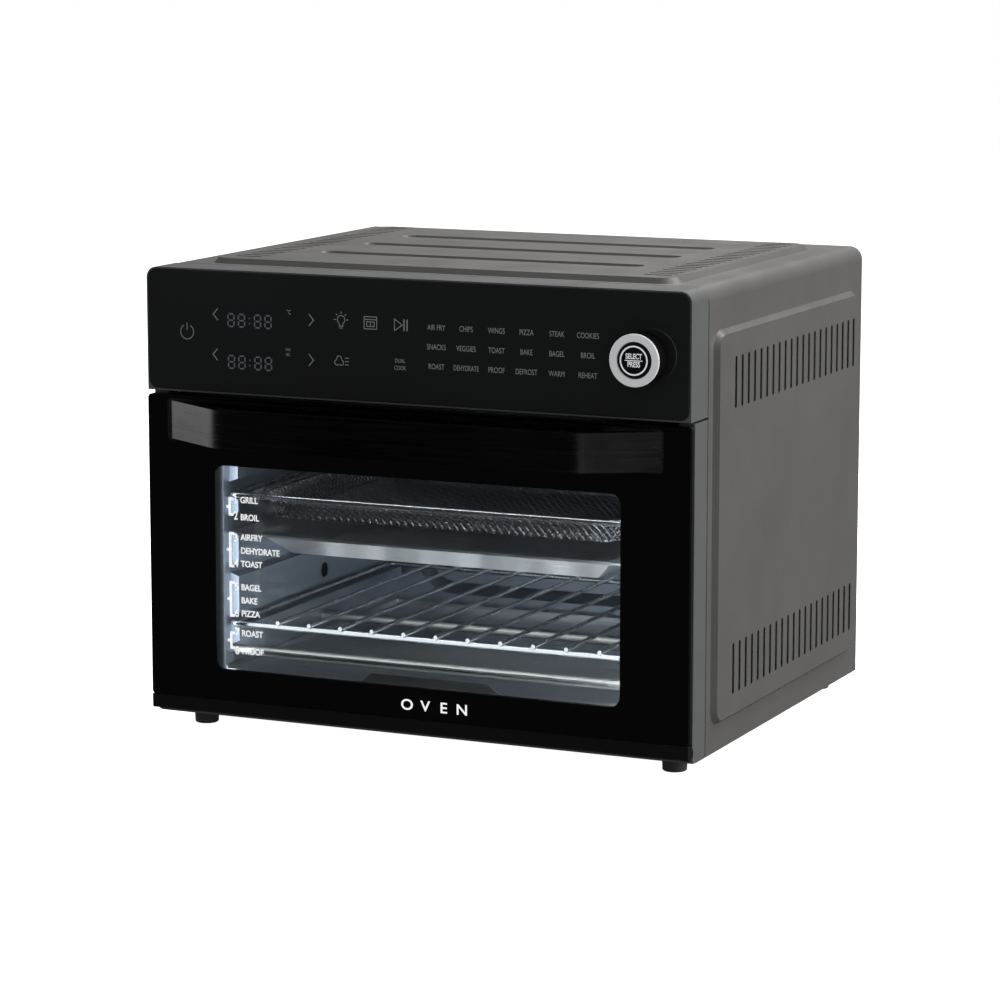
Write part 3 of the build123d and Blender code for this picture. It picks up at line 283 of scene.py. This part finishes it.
def text_mesh(bm, text, size, at, squeeze=1.0, align="CENTER", bold=0.0):
    """Adds a word, facing -Y, with its middle at a place in millimetres."""
    curve = bpy.data.curves.new(text, "FONT")
    curve.body = text
    curve.size = size * MM
    curve.align_x = align
    curve.align_y = "CENTER"
    curve.offset = bold * MM
    holder = bpy.data.objects.new(text, curve)
    bpy.context.scene.collection.objects.link(holder)
    bpy.context.view_layer.update()
    mesh = bpy.data.meshes.new_from_object(holder.evaluated_get(bpy.context.evaluated_depsgraph_get()))
    turn = Matrix.Translation((at[0] * MM, 0, at[1] * MM)) @ Matrix.Rotation(math.pi / 2, 4, "X")
    mesh.transform(turn @ Matrix.Diagonal((squeeze, 1, 1, 1)))
    bm.from_mesh(mesh)
    bpy.data.objects.remove(holder)
    bpy.data.meshes.remove(mesh)
    bpy.data.curves.remove(curve)


def add_piece(name, bm, materials):
    """Turns a bmesh into an object of the scene with its materials."""
    mesh = bpy.data.meshes.new(name)
    bm.to_mesh(mesh)
    bm.free()
    for material in materials:
        mesh.materials.append(material)
    piece = bpy.data.objects.new(name, mesh)
    bpy.context.scene.collection.objects.link(piece)
    return piece


def print_piece(name, bm, y, material, body):
    """Turns a drawing in the XZ plane into a piece of printing just in front of a face at y."""
    piece = add_piece(name, bm, [material])
    piece.data.transform(Matrix.Translation((0, y - PRINT_GAP, 0)))
    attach(piece, body)


def placed(points, x, z):
    """Points of a drawing in millimetres, moved to their place and turned into metres."""
    return [((x + px) * MM, (z + pz) * MM) for px, pz in points]


# Places of the printing are in millimetres: X from the oven's middle, and Z from the door's bottom edge.
DOOR_Z = DOOR_BASE / MM
PANEL_STROKE = 0.55 * MM
ARROW_STROKE = 0.65 * MM
PAUSE_STROKE = 0.9 * MM
LABEL_SIZE = 5.6
LONG_WORD = 7              # words with more letters than this are squeezed more
SMALL_WORDS = [("DUAL", 4.2, -7.8, 271.8), ("COOK", 4.2, -7.8, 266.6), ("°C", 4.6, -97, 302.5),
               ("MIN", 3.0, -97.8, 275.2), ("SEC", 3.0, -97.8, 271.6)]
POWER_MARK = (-181, 284.4)
LAMP_MARK = (-54.7, 297.8)
RACK_MARK = (-31.2, 298.0)
PLAY_MARK = (-7.1, 297.6)
FAN_MARK = (-55, 269.1)
FAN_LOBE_R = 1.9
FAN_LOBE_REACH = 1.922     # middle of each lobe, from the middle of the fan
ARROWS = [(-157.2, 298.4, -1), (-157.7, 268.9, -1), (-78.8, 297.8, 1), (-79.1, 268.7, 1)]
LABEL_COLUMNS = [20.9, 44.2, 67.8, 90.9, 114.2, 137.8]
LABEL_ROWS = [297.0, 283.0, 269.0]
LABELS = [["AIR FRY", "CHIPS", "WINGS", "PIZZA", "STEAK", "COOKIES"],
          ["SNACKS", "VEGGIES", "TOAST", "BAKE", "BAGEL", "BROIL"],
          ["ROAST", "DEHYDRATE", "PROOF", "DEFROST", "WARM", "REHEAT"]]


def around(angle, radius, x=0, z=0):
    """Point on a circle, with the angle in degrees from +X."""
    return (x + radius * math.cos(math.radians(angle)), z + radius * math.sin(math.radians(angle)))


def function_names(bm):
    """Three rows of function names and the small words beside the displays."""
    for row, names in zip(LABEL_ROWS, LABELS):
        for column, name in zip(LABEL_COLUMNS, names):
            squeeze = 0.62 if len(name) > LONG_WORD else 0.72
            text_mesh(bm, name, LABEL_SIZE, (column, DOOR_Z + row), squeeze)
    for word, size, x, z in SMALL_WORDS:
        text_mesh(bm, word, size, (x, DOOR_Z + z), squeeze=0.75)


def touch_symbols(bm):
    """Power, arrows, lamp, rack, play with pause, and fan."""
    def draw(points, x, z, closed=False, width=PANEL_STROKE):
        ribbon(bm, placed(points, x, DOOR_Z + z), width, closed)

    draw(arc((0, 0), 5.4, 120, 420), *POWER_MARK)
    draw([(0, 1.2), (0, 6.6)], *POWER_MARK)
    for x, z, way in ARROWS:
        draw([(-1.9 * way, 4.3), (1.9 * way, 0), (-1.9 * way, -4.3)], x, z, width=ARROW_STROKE)
    draw(arc((0, 1.4), 3.0, -60, 240), *LAMP_MARK)
    draw([(-1.5, -1.4), (-1.5, -3.2), (1.5, -3.2), (1.5, -1.4)], *LAMP_MARK)
    draw([(-1.3, -4.6), (1.3, -4.6)], *LAMP_MARK)
    for angle in (0, 45, 90, 135, 180):
        draw([around(angle, 4.2, z=1.4), around(angle, 5.8, z=1.4)], *LAMP_MARK)
    draw([(-5, -4.4), (5, -4.4), (5, 4.4), (-5, 4.4)], *RACK_MARK, closed=True)
    draw([(-5, 2.4), (5, 2.4)], *RACK_MARK)
    draw([(-3, -2.6), (3, -2.6), (3, 0.8), (-3, 0.8)], *RACK_MARK, closed=True)
    draw([(0, -2.6), (0, 0.8)], *RACK_MARK)
    draw([(-5, -4.2), (1.2, 0), (-5, 4.2)], *PLAY_MARK, closed=True)
    draw([(2.6, -4.2), (2.6, 4.2)], *PLAY_MARK, width=PAUSE_STROKE)
    draw([(5.0, -4.2), (5.0, 4.2)], *PLAY_MARK, width=PAUSE_STROKE)
    for turn in (90, 210, 330):
        middle = around(turn, FAN_LOBE_REACH, x=-1.5)
        draw(arc(middle, FAN_LOBE_R, turn - 110, turn + 110, 12), *FAN_MARK)
    for rise in (-2.4, 0, 2.4):
        draw([(3.2, rise), (6.2, rise)], *FAN_MARK)


def panel_printing():
    """Function names and touch symbols on the control glass."""
    bm = bmesh.new()
    function_names(bm)
    touch_symbols(bm)
    print_piece("panel_printing", bm, PANEL_FRONT, INK_AND_PAINTED_GLOW["panel"], "oven")


# Seven segments of a digit, whose middle is (0, 0) and whose corners are one step left and right and two
# steps up and down: top, middle, bottom, top left, top right, low left, low right.
SEGMENTS = [((-1, 2), (1, 2)), ((-1, 0), (1, 0)), ((-1, -2), (1, -2)), ((-1, 2), (-1, 0)), ((1, 2), (1, 0)),
            ((-1, 0), (-1, -2)), ((1, 0), (1, -2))]
SEGMENT_TRIM = 0.16        # part of a segment that is left off at each end
SEGMENT_STROKE = 1.1 * MM
DIGIT_STEP_X = 2.5
DIGIT_STEP_Z = 2.3
DIGIT_COLUMNS = [-144.4, -135.8, -122.6, -114.0]
COLON_X = -129.2
COLON_STROKE = 1.0 * MM
DISPLAY_ROWS = [294.6, 264.0]
WINDOW_X = (-149.0, -109.5)
WINDOW_ROWS = [(287.2, 302.1), (256.6, 271.3)]


def display_digits():
    """Faint unlit digits of the two displays, as segments behind the glass, in an ink with a painted glow.
    """
    bm = bmesh.new()
    for z in DISPLAY_ROWS:
        for x in DIGIT_COLUMNS:
            for start, end in SEGMENTS:
                run = [(a + (b - a) * SEGMENT_TRIM, b - (b - a) * SEGMENT_TRIM) for a, b in zip(start, end)]
                line = [(px * DIGIT_STEP_X, pz * DIGIT_STEP_Z) for px, pz in zip(*run)]
                ribbon(bm, placed(line, x, DOOR_Z + z), SEGMENT_STROKE)
        for rise in (-1.9, 1.9):
            ribbon(bm, placed([(-0.5, rise), (0.5, rise)], COLON_X, DOOR_Z + z), COLON_STROKE)
    print_piece("display_digits", bm, PANEL_FRONT, INK_AND_PAINTED_GLOW["faint"], "oven")


def display_windows():
    """Two smoked windows printed in the glass over the displays."""
    bm = bmesh.new()
    left, right = WINDOW_X
    for low, high in WINDOW_ROWS:
        corners = placed([(left, low), (right, low), (right, high), (left, high)], 0, DOOR_Z)
        bm.faces.new([bm.verts.new((px, 0, pz)) for px, pz in corners])
    print_piece("display_windows", bm, PANEL_FRONT + PRINT_GAP / 2, FINISH["display_smoke"], "oven")


LEVELS = [("1", 162.6), ("2", 151.0), ("3", 134.6), ("4", 115.6), ("5", 98.2), ("6", 78.4), ("7", 64.2),
          ("8", 50.5)]
LEVEL_WORDS = [("GRILL", 163.0), ("BROIL", 150.2), ("AIRFRY", 135.4), ("DEHYDRATE", 125.4), ("TOAST", 115.6),
               ("BAGEL", 98.2), ("BAKE", 88.4), ("PIZZA", 78.6), ("ROAST", 63.8), ("PROOF", 50.5)]
LEVEL_X = -142.4
LEVEL_SIZE = 8.4
LEVEL_WORD_X = -138.6
LEVEL_WORD_SIZE = 6.4
BRACKETS = [(162.7, 151.1, 156.8), (137.0, 112.6, 124.8), (100.3, 75.5, 88.0), (62.3, 51.3, 56.8)]
BRACKET_X = -147.3
BRACKET_ARM = 3.2
BRACKET_TICK = 3.0
BRACKET_STROKE = 2.0 * MM
DOOR_WORD = "OVEN"
DOOR_WORD_X = -3.4         # middle of its first letter
DOOR_WORD_STEP = 14.6
DOOR_WORD_Z = 21.0
DOOR_WORD_SIZE = 11.0
DIAL_CIRCLE_R = 9.9
DIAL_CIRCLE_STROKE = 1.1 * MM
DIAL_WORD_SIZE = 5.2
DIAL_WORD_RISE = 2.8       # middle of each word above or below the dial's line
DIAL_LINE_REACH = 6.6
DIAL_LINE_STROKE = 0.6 * MM


def lowered(z):
    """Height of a line of the shelf scale, which sits a little lower towards the bottom."""
    return DOOR_Z + z - 0.8 - (163 - z) * 0.0045


def door_printing():
    """Shelf numbers, dish names and brackets on the left of the window, and a plain word below it."""
    bm = bmesh.new()
    for number, z in LEVELS:
        text_mesh(bm, number, LEVEL_SIZE, (LEVEL_X, lowered(z)), squeeze=0.8, bold=0.16)
    for word, z in LEVEL_WORDS:
        place = (LEVEL_WORD_X, lowered(z))
        text_mesh(bm, word, LEVEL_WORD_SIZE, place, squeeze=0.88, align="LEFT", bold=0.14)
    for top, bottom, tick in BRACKETS:
        hook = [(BRACKET_ARM, top), (0, top), (0, bottom), (BRACKET_ARM, bottom)]
        ribbon(bm, placed(hook, BRACKET_X, DOOR_Z), BRACKET_STROKE)
        ribbon(bm, placed([(-BRACKET_TICK, tick), (0, tick)], BRACKET_X, DOOR_Z), BRACKET_STROKE)
    for step, letter in enumerate(DOOR_WORD):
        place = (DOOR_WORD_X + step * DOOR_WORD_STEP, DOOR_Z + DOOR_WORD_Z)
        text_mesh(bm, letter, DOOR_WORD_SIZE, place, squeeze=1.12, bold=0.15)
    print_piece("door_printing", bm, FRONT, INK_AND_PAINTED_GLOW["door"], "door")


def dial_printing():
    """Circle and words on the select button."""
    bm = bmesh.new()
    x = DIAL_X / MM
    z = DIAL_Z / MM
    circle = arc((0, 0), DIAL_CIRCLE_R, 0, 360, 48)[:-1]
    ribbon(bm, placed(circle, x, z), DIAL_CIRCLE_STROKE, closed=True)
    text_mesh(bm, "SELECT", DIAL_WORD_SIZE, (x, z + DIAL_WORD_RISE), squeeze=0.72, bold=0.14)
    text_mesh(bm, "PRESS", DIAL_WORD_SIZE, (x, z - DIAL_WORD_RISE), squeeze=0.72, bold=0.14)
    ribbon(bm, placed([(-DIAL_LINE_REACH, 0), (DIAL_LINE_REACH, 0)], x, z), DIAL_LINE_STROKE)
    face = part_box("select_button")[0].y
    print_piece("dial_printing", bm, face, INK_AND_PAINTED_GLOW["dial"], "button")


panel_printing()
display_windows()
display_digits()
door_printing()
dial_printing()


# ---- woven mesh of the air-fry basket ------------------------------------------------------------------
MESH_PITCH = 5.9 * MM
MESH_WIRE_R = 0.4 * MM
MESH_CORNER = 28.0 * MM
MESH_LEAN = math.radians(25)
MESH_SKEW = 0.6            # sideways run of a floor wire for each step from front to back
MESH_HEM_R = 1.7 * MESH_WIRE_R
MESH_RIM_R = 1.5 * MESH_WIRE_R
WALL_PARTS = 6             # lengths of a wall wire; the first two keep the chrome, the rest take a darker copy: painted shade
HEM_PARTS = 4              # lengths of the hem between two wall wires; the first two keep the chrome, the rest take a darker copy: painted shade
RIM_STEPS = 96
FLOOR_STEPS = 400          # tries along a floor wire to find its ends


def tube(bm, points, radius, sides=6, lengths_before_painted_shade=0):
    """Thin wire through a few points, capped at both ends, whose first few lengths take the first material
    and the rest the second, a darker copy of it: painted shade.
    """
    rings = []
    for index, point in enumerate(points):
        before = points[max(0, index - 1)]
        after = points[min(len(points) - 1, index + 1)]
        along = (after - before).normalized()
        across = along.orthogonal().normalized()
        other = along.cross(across)
        turns = [2 * math.pi * side / sides for side in range(sides)]
        spokes = [math.cos(turn) * across + math.sin(turn) * other for turn in turns]
        rings.append([bm.verts.new(point + radius * spoke) for spoke in spokes])
    for step, (low, high) in enumerate(zip(rings, rings[1:])):
        for side in range(sides):
            after = (side + 1) % sides
            face = bm.faces.new((low[side], low[after], high[after], high[side]))
            face.material_index = 0 if step < lengths_before_painted_shade else 1
    bm.faces.new(rings[0][::-1])
    bm.faces.new(rings[-1])


def outline_point(along, half_x, half_y, corner, inset):
    """Point of a rounded rectangle at a distance along its outline, moved in by inset."""
    runs = [(1, 0), (0, 1), (-1, 0), (0, -1)]
    centres = [(half_x - corner, -half_y + corner), (half_x - corner, half_y - corner),
               (-half_x + corner, half_y - corner), (-half_x + corner, -half_y + corner)]
    quarter = corner * math.pi / 2
    straights = [2 * (half_x - corner), 2 * (half_y - corner)] * 2
    along %= sum(straights) + 4 * quarter
    for (dx, dy), (cx, cy), straight in zip(runs, centres, straights):
        outward = (dy, -dx)
        if along < straight:
            back = straight - along
            return Vector((cx - dx * back + outward[0] * (corner - inset),
                           cy - dy * back + outward[1] * (corner - inset)))
        along -= straight
        if along < quarter:
            turn = along / corner
            ox = outward[0] * math.cos(turn) - outward[1] * math.sin(turn)
            oy = outward[0] * math.sin(turn) + outward[1] * math.cos(turn)
            return Vector((cx + ox * (corner - inset), cy + oy * (corner - inset)))
        along -= quarter
    raise ValueError("the distance lies past the outline")


def floor_span(offset, way, half_x, half_y, corner):
    """Ends of the line x = way * MESH_SKEW * y + offset where it crosses a rounded rectangle."""
    inside = []
    for step in range(FLOOR_STEPS + 1):
        y = -half_y + 2 * half_y * step / FLOOR_STEPS
        x = way * MESH_SKEW * y + offset
        past_x = max(0, abs(x) - (half_x - corner))
        past_y = max(0, abs(y) - (half_y - corner))
        if abs(x) <= half_x and math.hypot(past_x, past_y) <= corner:
            inside.append(Vector((x, y)))
    return (inside[0], inside[-1]) if len(inside) > 2 else None


def woven_basket():
    """Diamond wire mesh: crossed wires down the walls and over the floor, with a wire along each edge."""
    low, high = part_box("basket_mesh")
    centre = (low + high) / 2
    half_x = (high.x - low.x) / 2 - MESH_WIRE_R
    half_y = (high.y - low.y) / 2 - MESH_WIRE_R
    bottom = low.z + 2 * MESH_WIRE_R
    top = high.z - MESH_WIRE_R
    slant = (top - bottom) / math.cos(MESH_LEAN)
    lean = slant * math.sin(MESH_LEAN)
    outline = 4 * (half_x + half_y) - (8 - 2 * math.pi) * MESH_CORNER
    count = round(outline / MESH_PITCH)
    bm = bmesh.new()

    def on_wall(along, down, lift):
        flat = outline_point(along, half_x, half_y, MESH_CORNER, down * math.sin(MESH_LEAN) + lift)
        return Vector((centre.x + flat.x, centre.y + flat.y, top - down * math.cos(MESH_LEAN)))

    drops = [slant * part / WALL_PARTS for part in range(WALL_PARTS + 1)]
    for step in range(count):
        start = step * outline / count
        for way, lift in ((1, 0.0), (-1, MESH_WIRE_R)):
            tube(bm, [on_wall(start + way * down, down, lift) for down in drops], MESH_WIRE_R, lengths_before_painted_shade=2)
    floor_x = half_x - lean
    floor_y = half_y - lean
    lines = int((floor_x + MESH_SKEW * floor_y) / MESH_PITCH)
    # Floor wires of one way all take the darker copy, painted shade, and those of the other way keep the
    # chrome.
    for line in range(-lines, lines + 1):
        for way, lift, lengths_before_painted_shade in ((1, -MESH_WIRE_R, 0), (-1, 0.0, 1)):
            ends = floor_span(line * MESH_PITCH, way, floor_x, floor_y, MESH_CORNER - lean)
            if ends:
                wire = [Vector((centre.x + p.x, centre.y + p.y, bottom + lift)) for p in ends]
                tube(bm, wire, MESH_WIRE_R, lengths_before_painted_shade=lengths_before_painted_shade)
    for step in range(count):
        start = step * outline / count
        alongs = [start + outline / count * part / HEM_PARTS for part in range(HEM_PARTS + 1)]
        tube(bm, [on_wall(along, slant, MESH_WIRE_R / 2) for along in alongs], MESH_HEM_R, lengths_before_painted_shade=2)
    alongs = [outline * step / RIM_STEPS for step in range(RIM_STEPS + 1)]
    tube(bm, [on_wall(along, 0.0, MESH_WIRE_R / 2) for along in alongs], MESH_RIM_R)
    # The second material, the darker copy of the chrome, is painted shade on the lower wall wires, half the
    # floor wires, part of each hem length and the whole top rim.
    basket = add_piece("woven_basket", bm, [FINISH["chrome_wire"], FINISH["dark_wire"]])
    for polygon in basket.data.polygons:
        polygon.use_smooth = True
    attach(basket, "basket")
    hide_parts("basket_mesh")


woven_basket()


# ---- painted shade: dark sheets behind the vents -------------------------------------------------------
SHADE_SHEET_CLEAR = 2 * MM      # from the control housing and from the back panel
SHADE_SHEET_INSET = 8 * MM      # from the front frame's sides and from the wrap's bottom
SHADE_SHEET_DROP = 12 * MM      # below the wrap's top
SHADE_SHEET_FOLD = 5 * MM
SHADE_SHEET_THICKNESS = 0.5 * MM


def painted_shade_sheets():
    """Near-black sheet, folded to an arch, that stands between the cavity and the vented wrap: painted shade
    that darkens what shows through the slots.
    """
    wrap_low, wrap_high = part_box("outer_wrap")
    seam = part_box("control_housing")[1].y + SHADE_SHEET_CLEAR
    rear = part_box("back_panel")[0].y - SHADE_SHEET_CLEAR
    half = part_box("front_frame")[1].x - SHADE_SHEET_INSET
    low = wrap_low.z + SHADE_SHEET_INSET
    high = wrap_high.z - SHADE_SHEET_DROP
    fold = SHADE_SHEET_FOLD
    arch = [(-half + fold, low), (-half, low + fold), (-half, high - fold), (-half + fold, high),
            (half - fold, high), (half, high - fold), (half, low + fold), (half - fold, low)]
    bm = bmesh.new()
    rings = [[bm.verts.new((x, y, z)) for x, z in arch] for y in (seam, rear)]
    for step in range(len(arch) - 1):
        bm.faces.new((rings[0][step], rings[0][step + 1], rings[1][step + 1], rings[1][step]))
    shade_sheets = add_piece("painted_shade_sheets", bm, [FINISH["shield"]])
    thickness = shade_sheets.modifiers.new("thickness", "SOLIDIFY")
    thickness.thickness = SHADE_SHEET_THICKNESS
    thickness.offset = 0
    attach(shade_sheets, "oven")


painted_shade_sheets()


# ---- stage: floor, light and camera --------------------------------------------------------------------
AZIMUTH = math.radians(24.39)
ELEVATION = math.radians(9.41)
DISTANCE = 2.70
TARGET = Vector((0.0349, -0.0839, 0.1787))
LENS = 132.6
MOUTH_Y = FRONT + 27 * MM
TRAY_LAMP_Y = FRONT + 85 * MM
TRAY_LAMPS = 8
TRAY_LAMP_PITCH = 38 * MM
CAVITY_LIGHT = (0.95, 0.98, 1.0)


def aim(thing, target):
    thing.rotation_euler = (Vector(target) - thing.location).to_track_quat("-Z", "Y").to_euler()


def add_camera():
    data = bpy.data.cameras.new("camera")
    data.lens = LENS
    data.sensor_width = 36.0
    data.clip_start = 0.05
    camera = bpy.data.objects.new("camera", data)
    across = math.cos(ELEVATION)
    away = Vector((math.sin(AZIMUTH) * across, -math.cos(AZIMUTH) * across, math.sin(ELEVATION)))
    camera.location = TARGET + away * DISTANCE
    aim(camera, TARGET)
    bpy.context.scene.collection.objects.link(camera)
    bpy.context.scene.camera = camera


def area_light(name, place, target, size, watts, colour=(1, 1, 1)):
    data = bpy.data.lights.new(name, "AREA")
    data.shape = "RECTANGLE"
    data.size, data.size_y = size
    data.energy = watts
    data.color = colour
    light = bpy.data.objects.new(name, data)
    light.location = place
    aim(light, target)
    bpy.context.scene.collection.objects.link(light)
    return light


def add_floor():
    """Plain white floor that shows to the camera and is left out of reflections and of the glass."""
    bm = bmesh.new()
    bmesh.ops.create_grid(bm, x_segments=8, y_segments=8, size=6.0)
    s = Shader("floor_white")
    s.link(s.colours(s.noise(1.5, 2), (0.93, 0.93, 0.93), (0.96, 0.96, 0.96)), s.shader.inputs["Base Color"])
    s.shader.inputs["Emission Color"].default_value = (1, 1, 1, 1)
    s.shader.inputs["Emission Strength"].default_value = 1.0
    s.shader.inputs["Roughness"].default_value = 0.9
    s.shader.inputs["Specular IOR Level"].default_value = 0.1
    floor = add_piece("floor", bm, [s.material])
    floor.visible_glossy = False
    floor.visible_diffuse = False
    floor.visible_transmission = False


def add_world():
    """White to the camera, a dim even sky to matt surfaces, and nearly black to gloss and glass."""
    world = bpy.data.worlds.new("studio")
    bpy.context.scene.world = world
    world.use_nodes = True
    tree = world.node_tree
    background = tree.nodes["Background"]
    background.inputs["Color"].default_value = (1, 1, 1, 1)
    background.inputs["Strength"].default_value = 1.0
    sky = tree.nodes.new("ShaderNodeBackground")
    sky.inputs["Color"].default_value = (0.9, 0.95, 1.0, 1)
    sky.inputs["Strength"].default_value = 0.30
    dark = tree.nodes.new("ShaderNodeBackground")
    dark.inputs["Color"].default_value = (1, 1, 1, 1)
    dark.inputs["Strength"].default_value = 0.04
    path = tree.nodes.new("ShaderNodeLightPath")
    mix_matt = tree.nodes.new("ShaderNodeMixShader")
    mix_camera = tree.nodes.new("ShaderNodeMixShader")
    tree.links.new(path.outputs["Is Diffuse Ray"], mix_matt.inputs["Fac"])
    tree.links.new(dark.outputs["Background"], mix_matt.inputs[1])
    tree.links.new(sky.outputs["Background"], mix_matt.inputs[2])
    tree.links.new(path.outputs["Is Camera Ray"], mix_camera.inputs["Fac"])
    tree.links.new(mix_matt.outputs["Shader"], mix_camera.inputs[1])
    tree.links.new(background.outputs["Background"], mix_camera.inputs[2])
    tree.links.new(mix_camera.outputs["Shader"], tree.nodes["World Output"].inputs["Surface"])


def cavity_light(name, place, target, size, watts):
    """Weak lamp in the cavity, which isn't seen itself, neither straight nor through the door's glass."""
    light = area_light(name, place, target, size, watts, CAVITY_LIGHT)
    light.visible_camera = False
    light.visible_transmission = False


def studio_lights():
    area_light("key_top", (0.3, 1.0, 2.1), (0, 0, 0.3), (2.4, 1.6), 68)
    area_light("side_right", (2.6, 0.6, 0.9), (0, 0, 0.2), (1.8, 1.8), 52)
    area_light("wall_left", (-2.4, -0.25, 0.5), (0, -0.2, 0.2), (0.9, 1.6), 9)
    area_light("front_right", (1.5, -2.1, 0.35), (0.1, -0.2, 0.2), (0.5, 1.2), 1.6)


def cavity_lights():
    """Lamps just inside the door, in place of the studio's light that comes through the glass."""
    def mouth(x, z, back=0.0):
        return (x, MOUTH_Y + back, DOOR_BASE + z)

    cavity_light("mouth_top", mouth(0, 0.215), mouth(0, 0.10, 0.20), (0.30, 0.010), 0.14)
    cavity_light("mouth_right", mouth(0.162, 0.09), mouth(-0.167, 0.08, 0.14), (0.010, 0.13), 0.65)
    cavity_light("mouth_left", mouth(-0.1635, 0.12), mouth(-0.1635, 0.12, 0.12), (0.008, 0.19), 0.022)
    cavity_light("mouth_middle", mouth(0, 0.085), mouth(0, 0.075, 0.2), (0.30, 0.06), 0.10)
    cavity_light("mouth_low", mouth(0, 0.024), mouth(0, 0.030, 0.02), (0.30, 0.004), 0.012)
    for step in range(TRAY_LAMPS):
        x = (step - (TRAY_LAMPS - 1) / 2) * TRAY_LAMP_PITCH
        place = (x, TRAY_LAMP_Y, DOOR_BASE + 0.032)
        above = (x, TRAY_LAMP_Y, DOOR_BASE + 0.2)
        cavity_light(f"tray_glow_{step}", place, above, (0.016, 0.06), 0.006)


add_camera()
add_world()
add_floor()
bpy.context.scene.view_settings.view_transform = "Standard"
studio_lights()
cavity_lights()
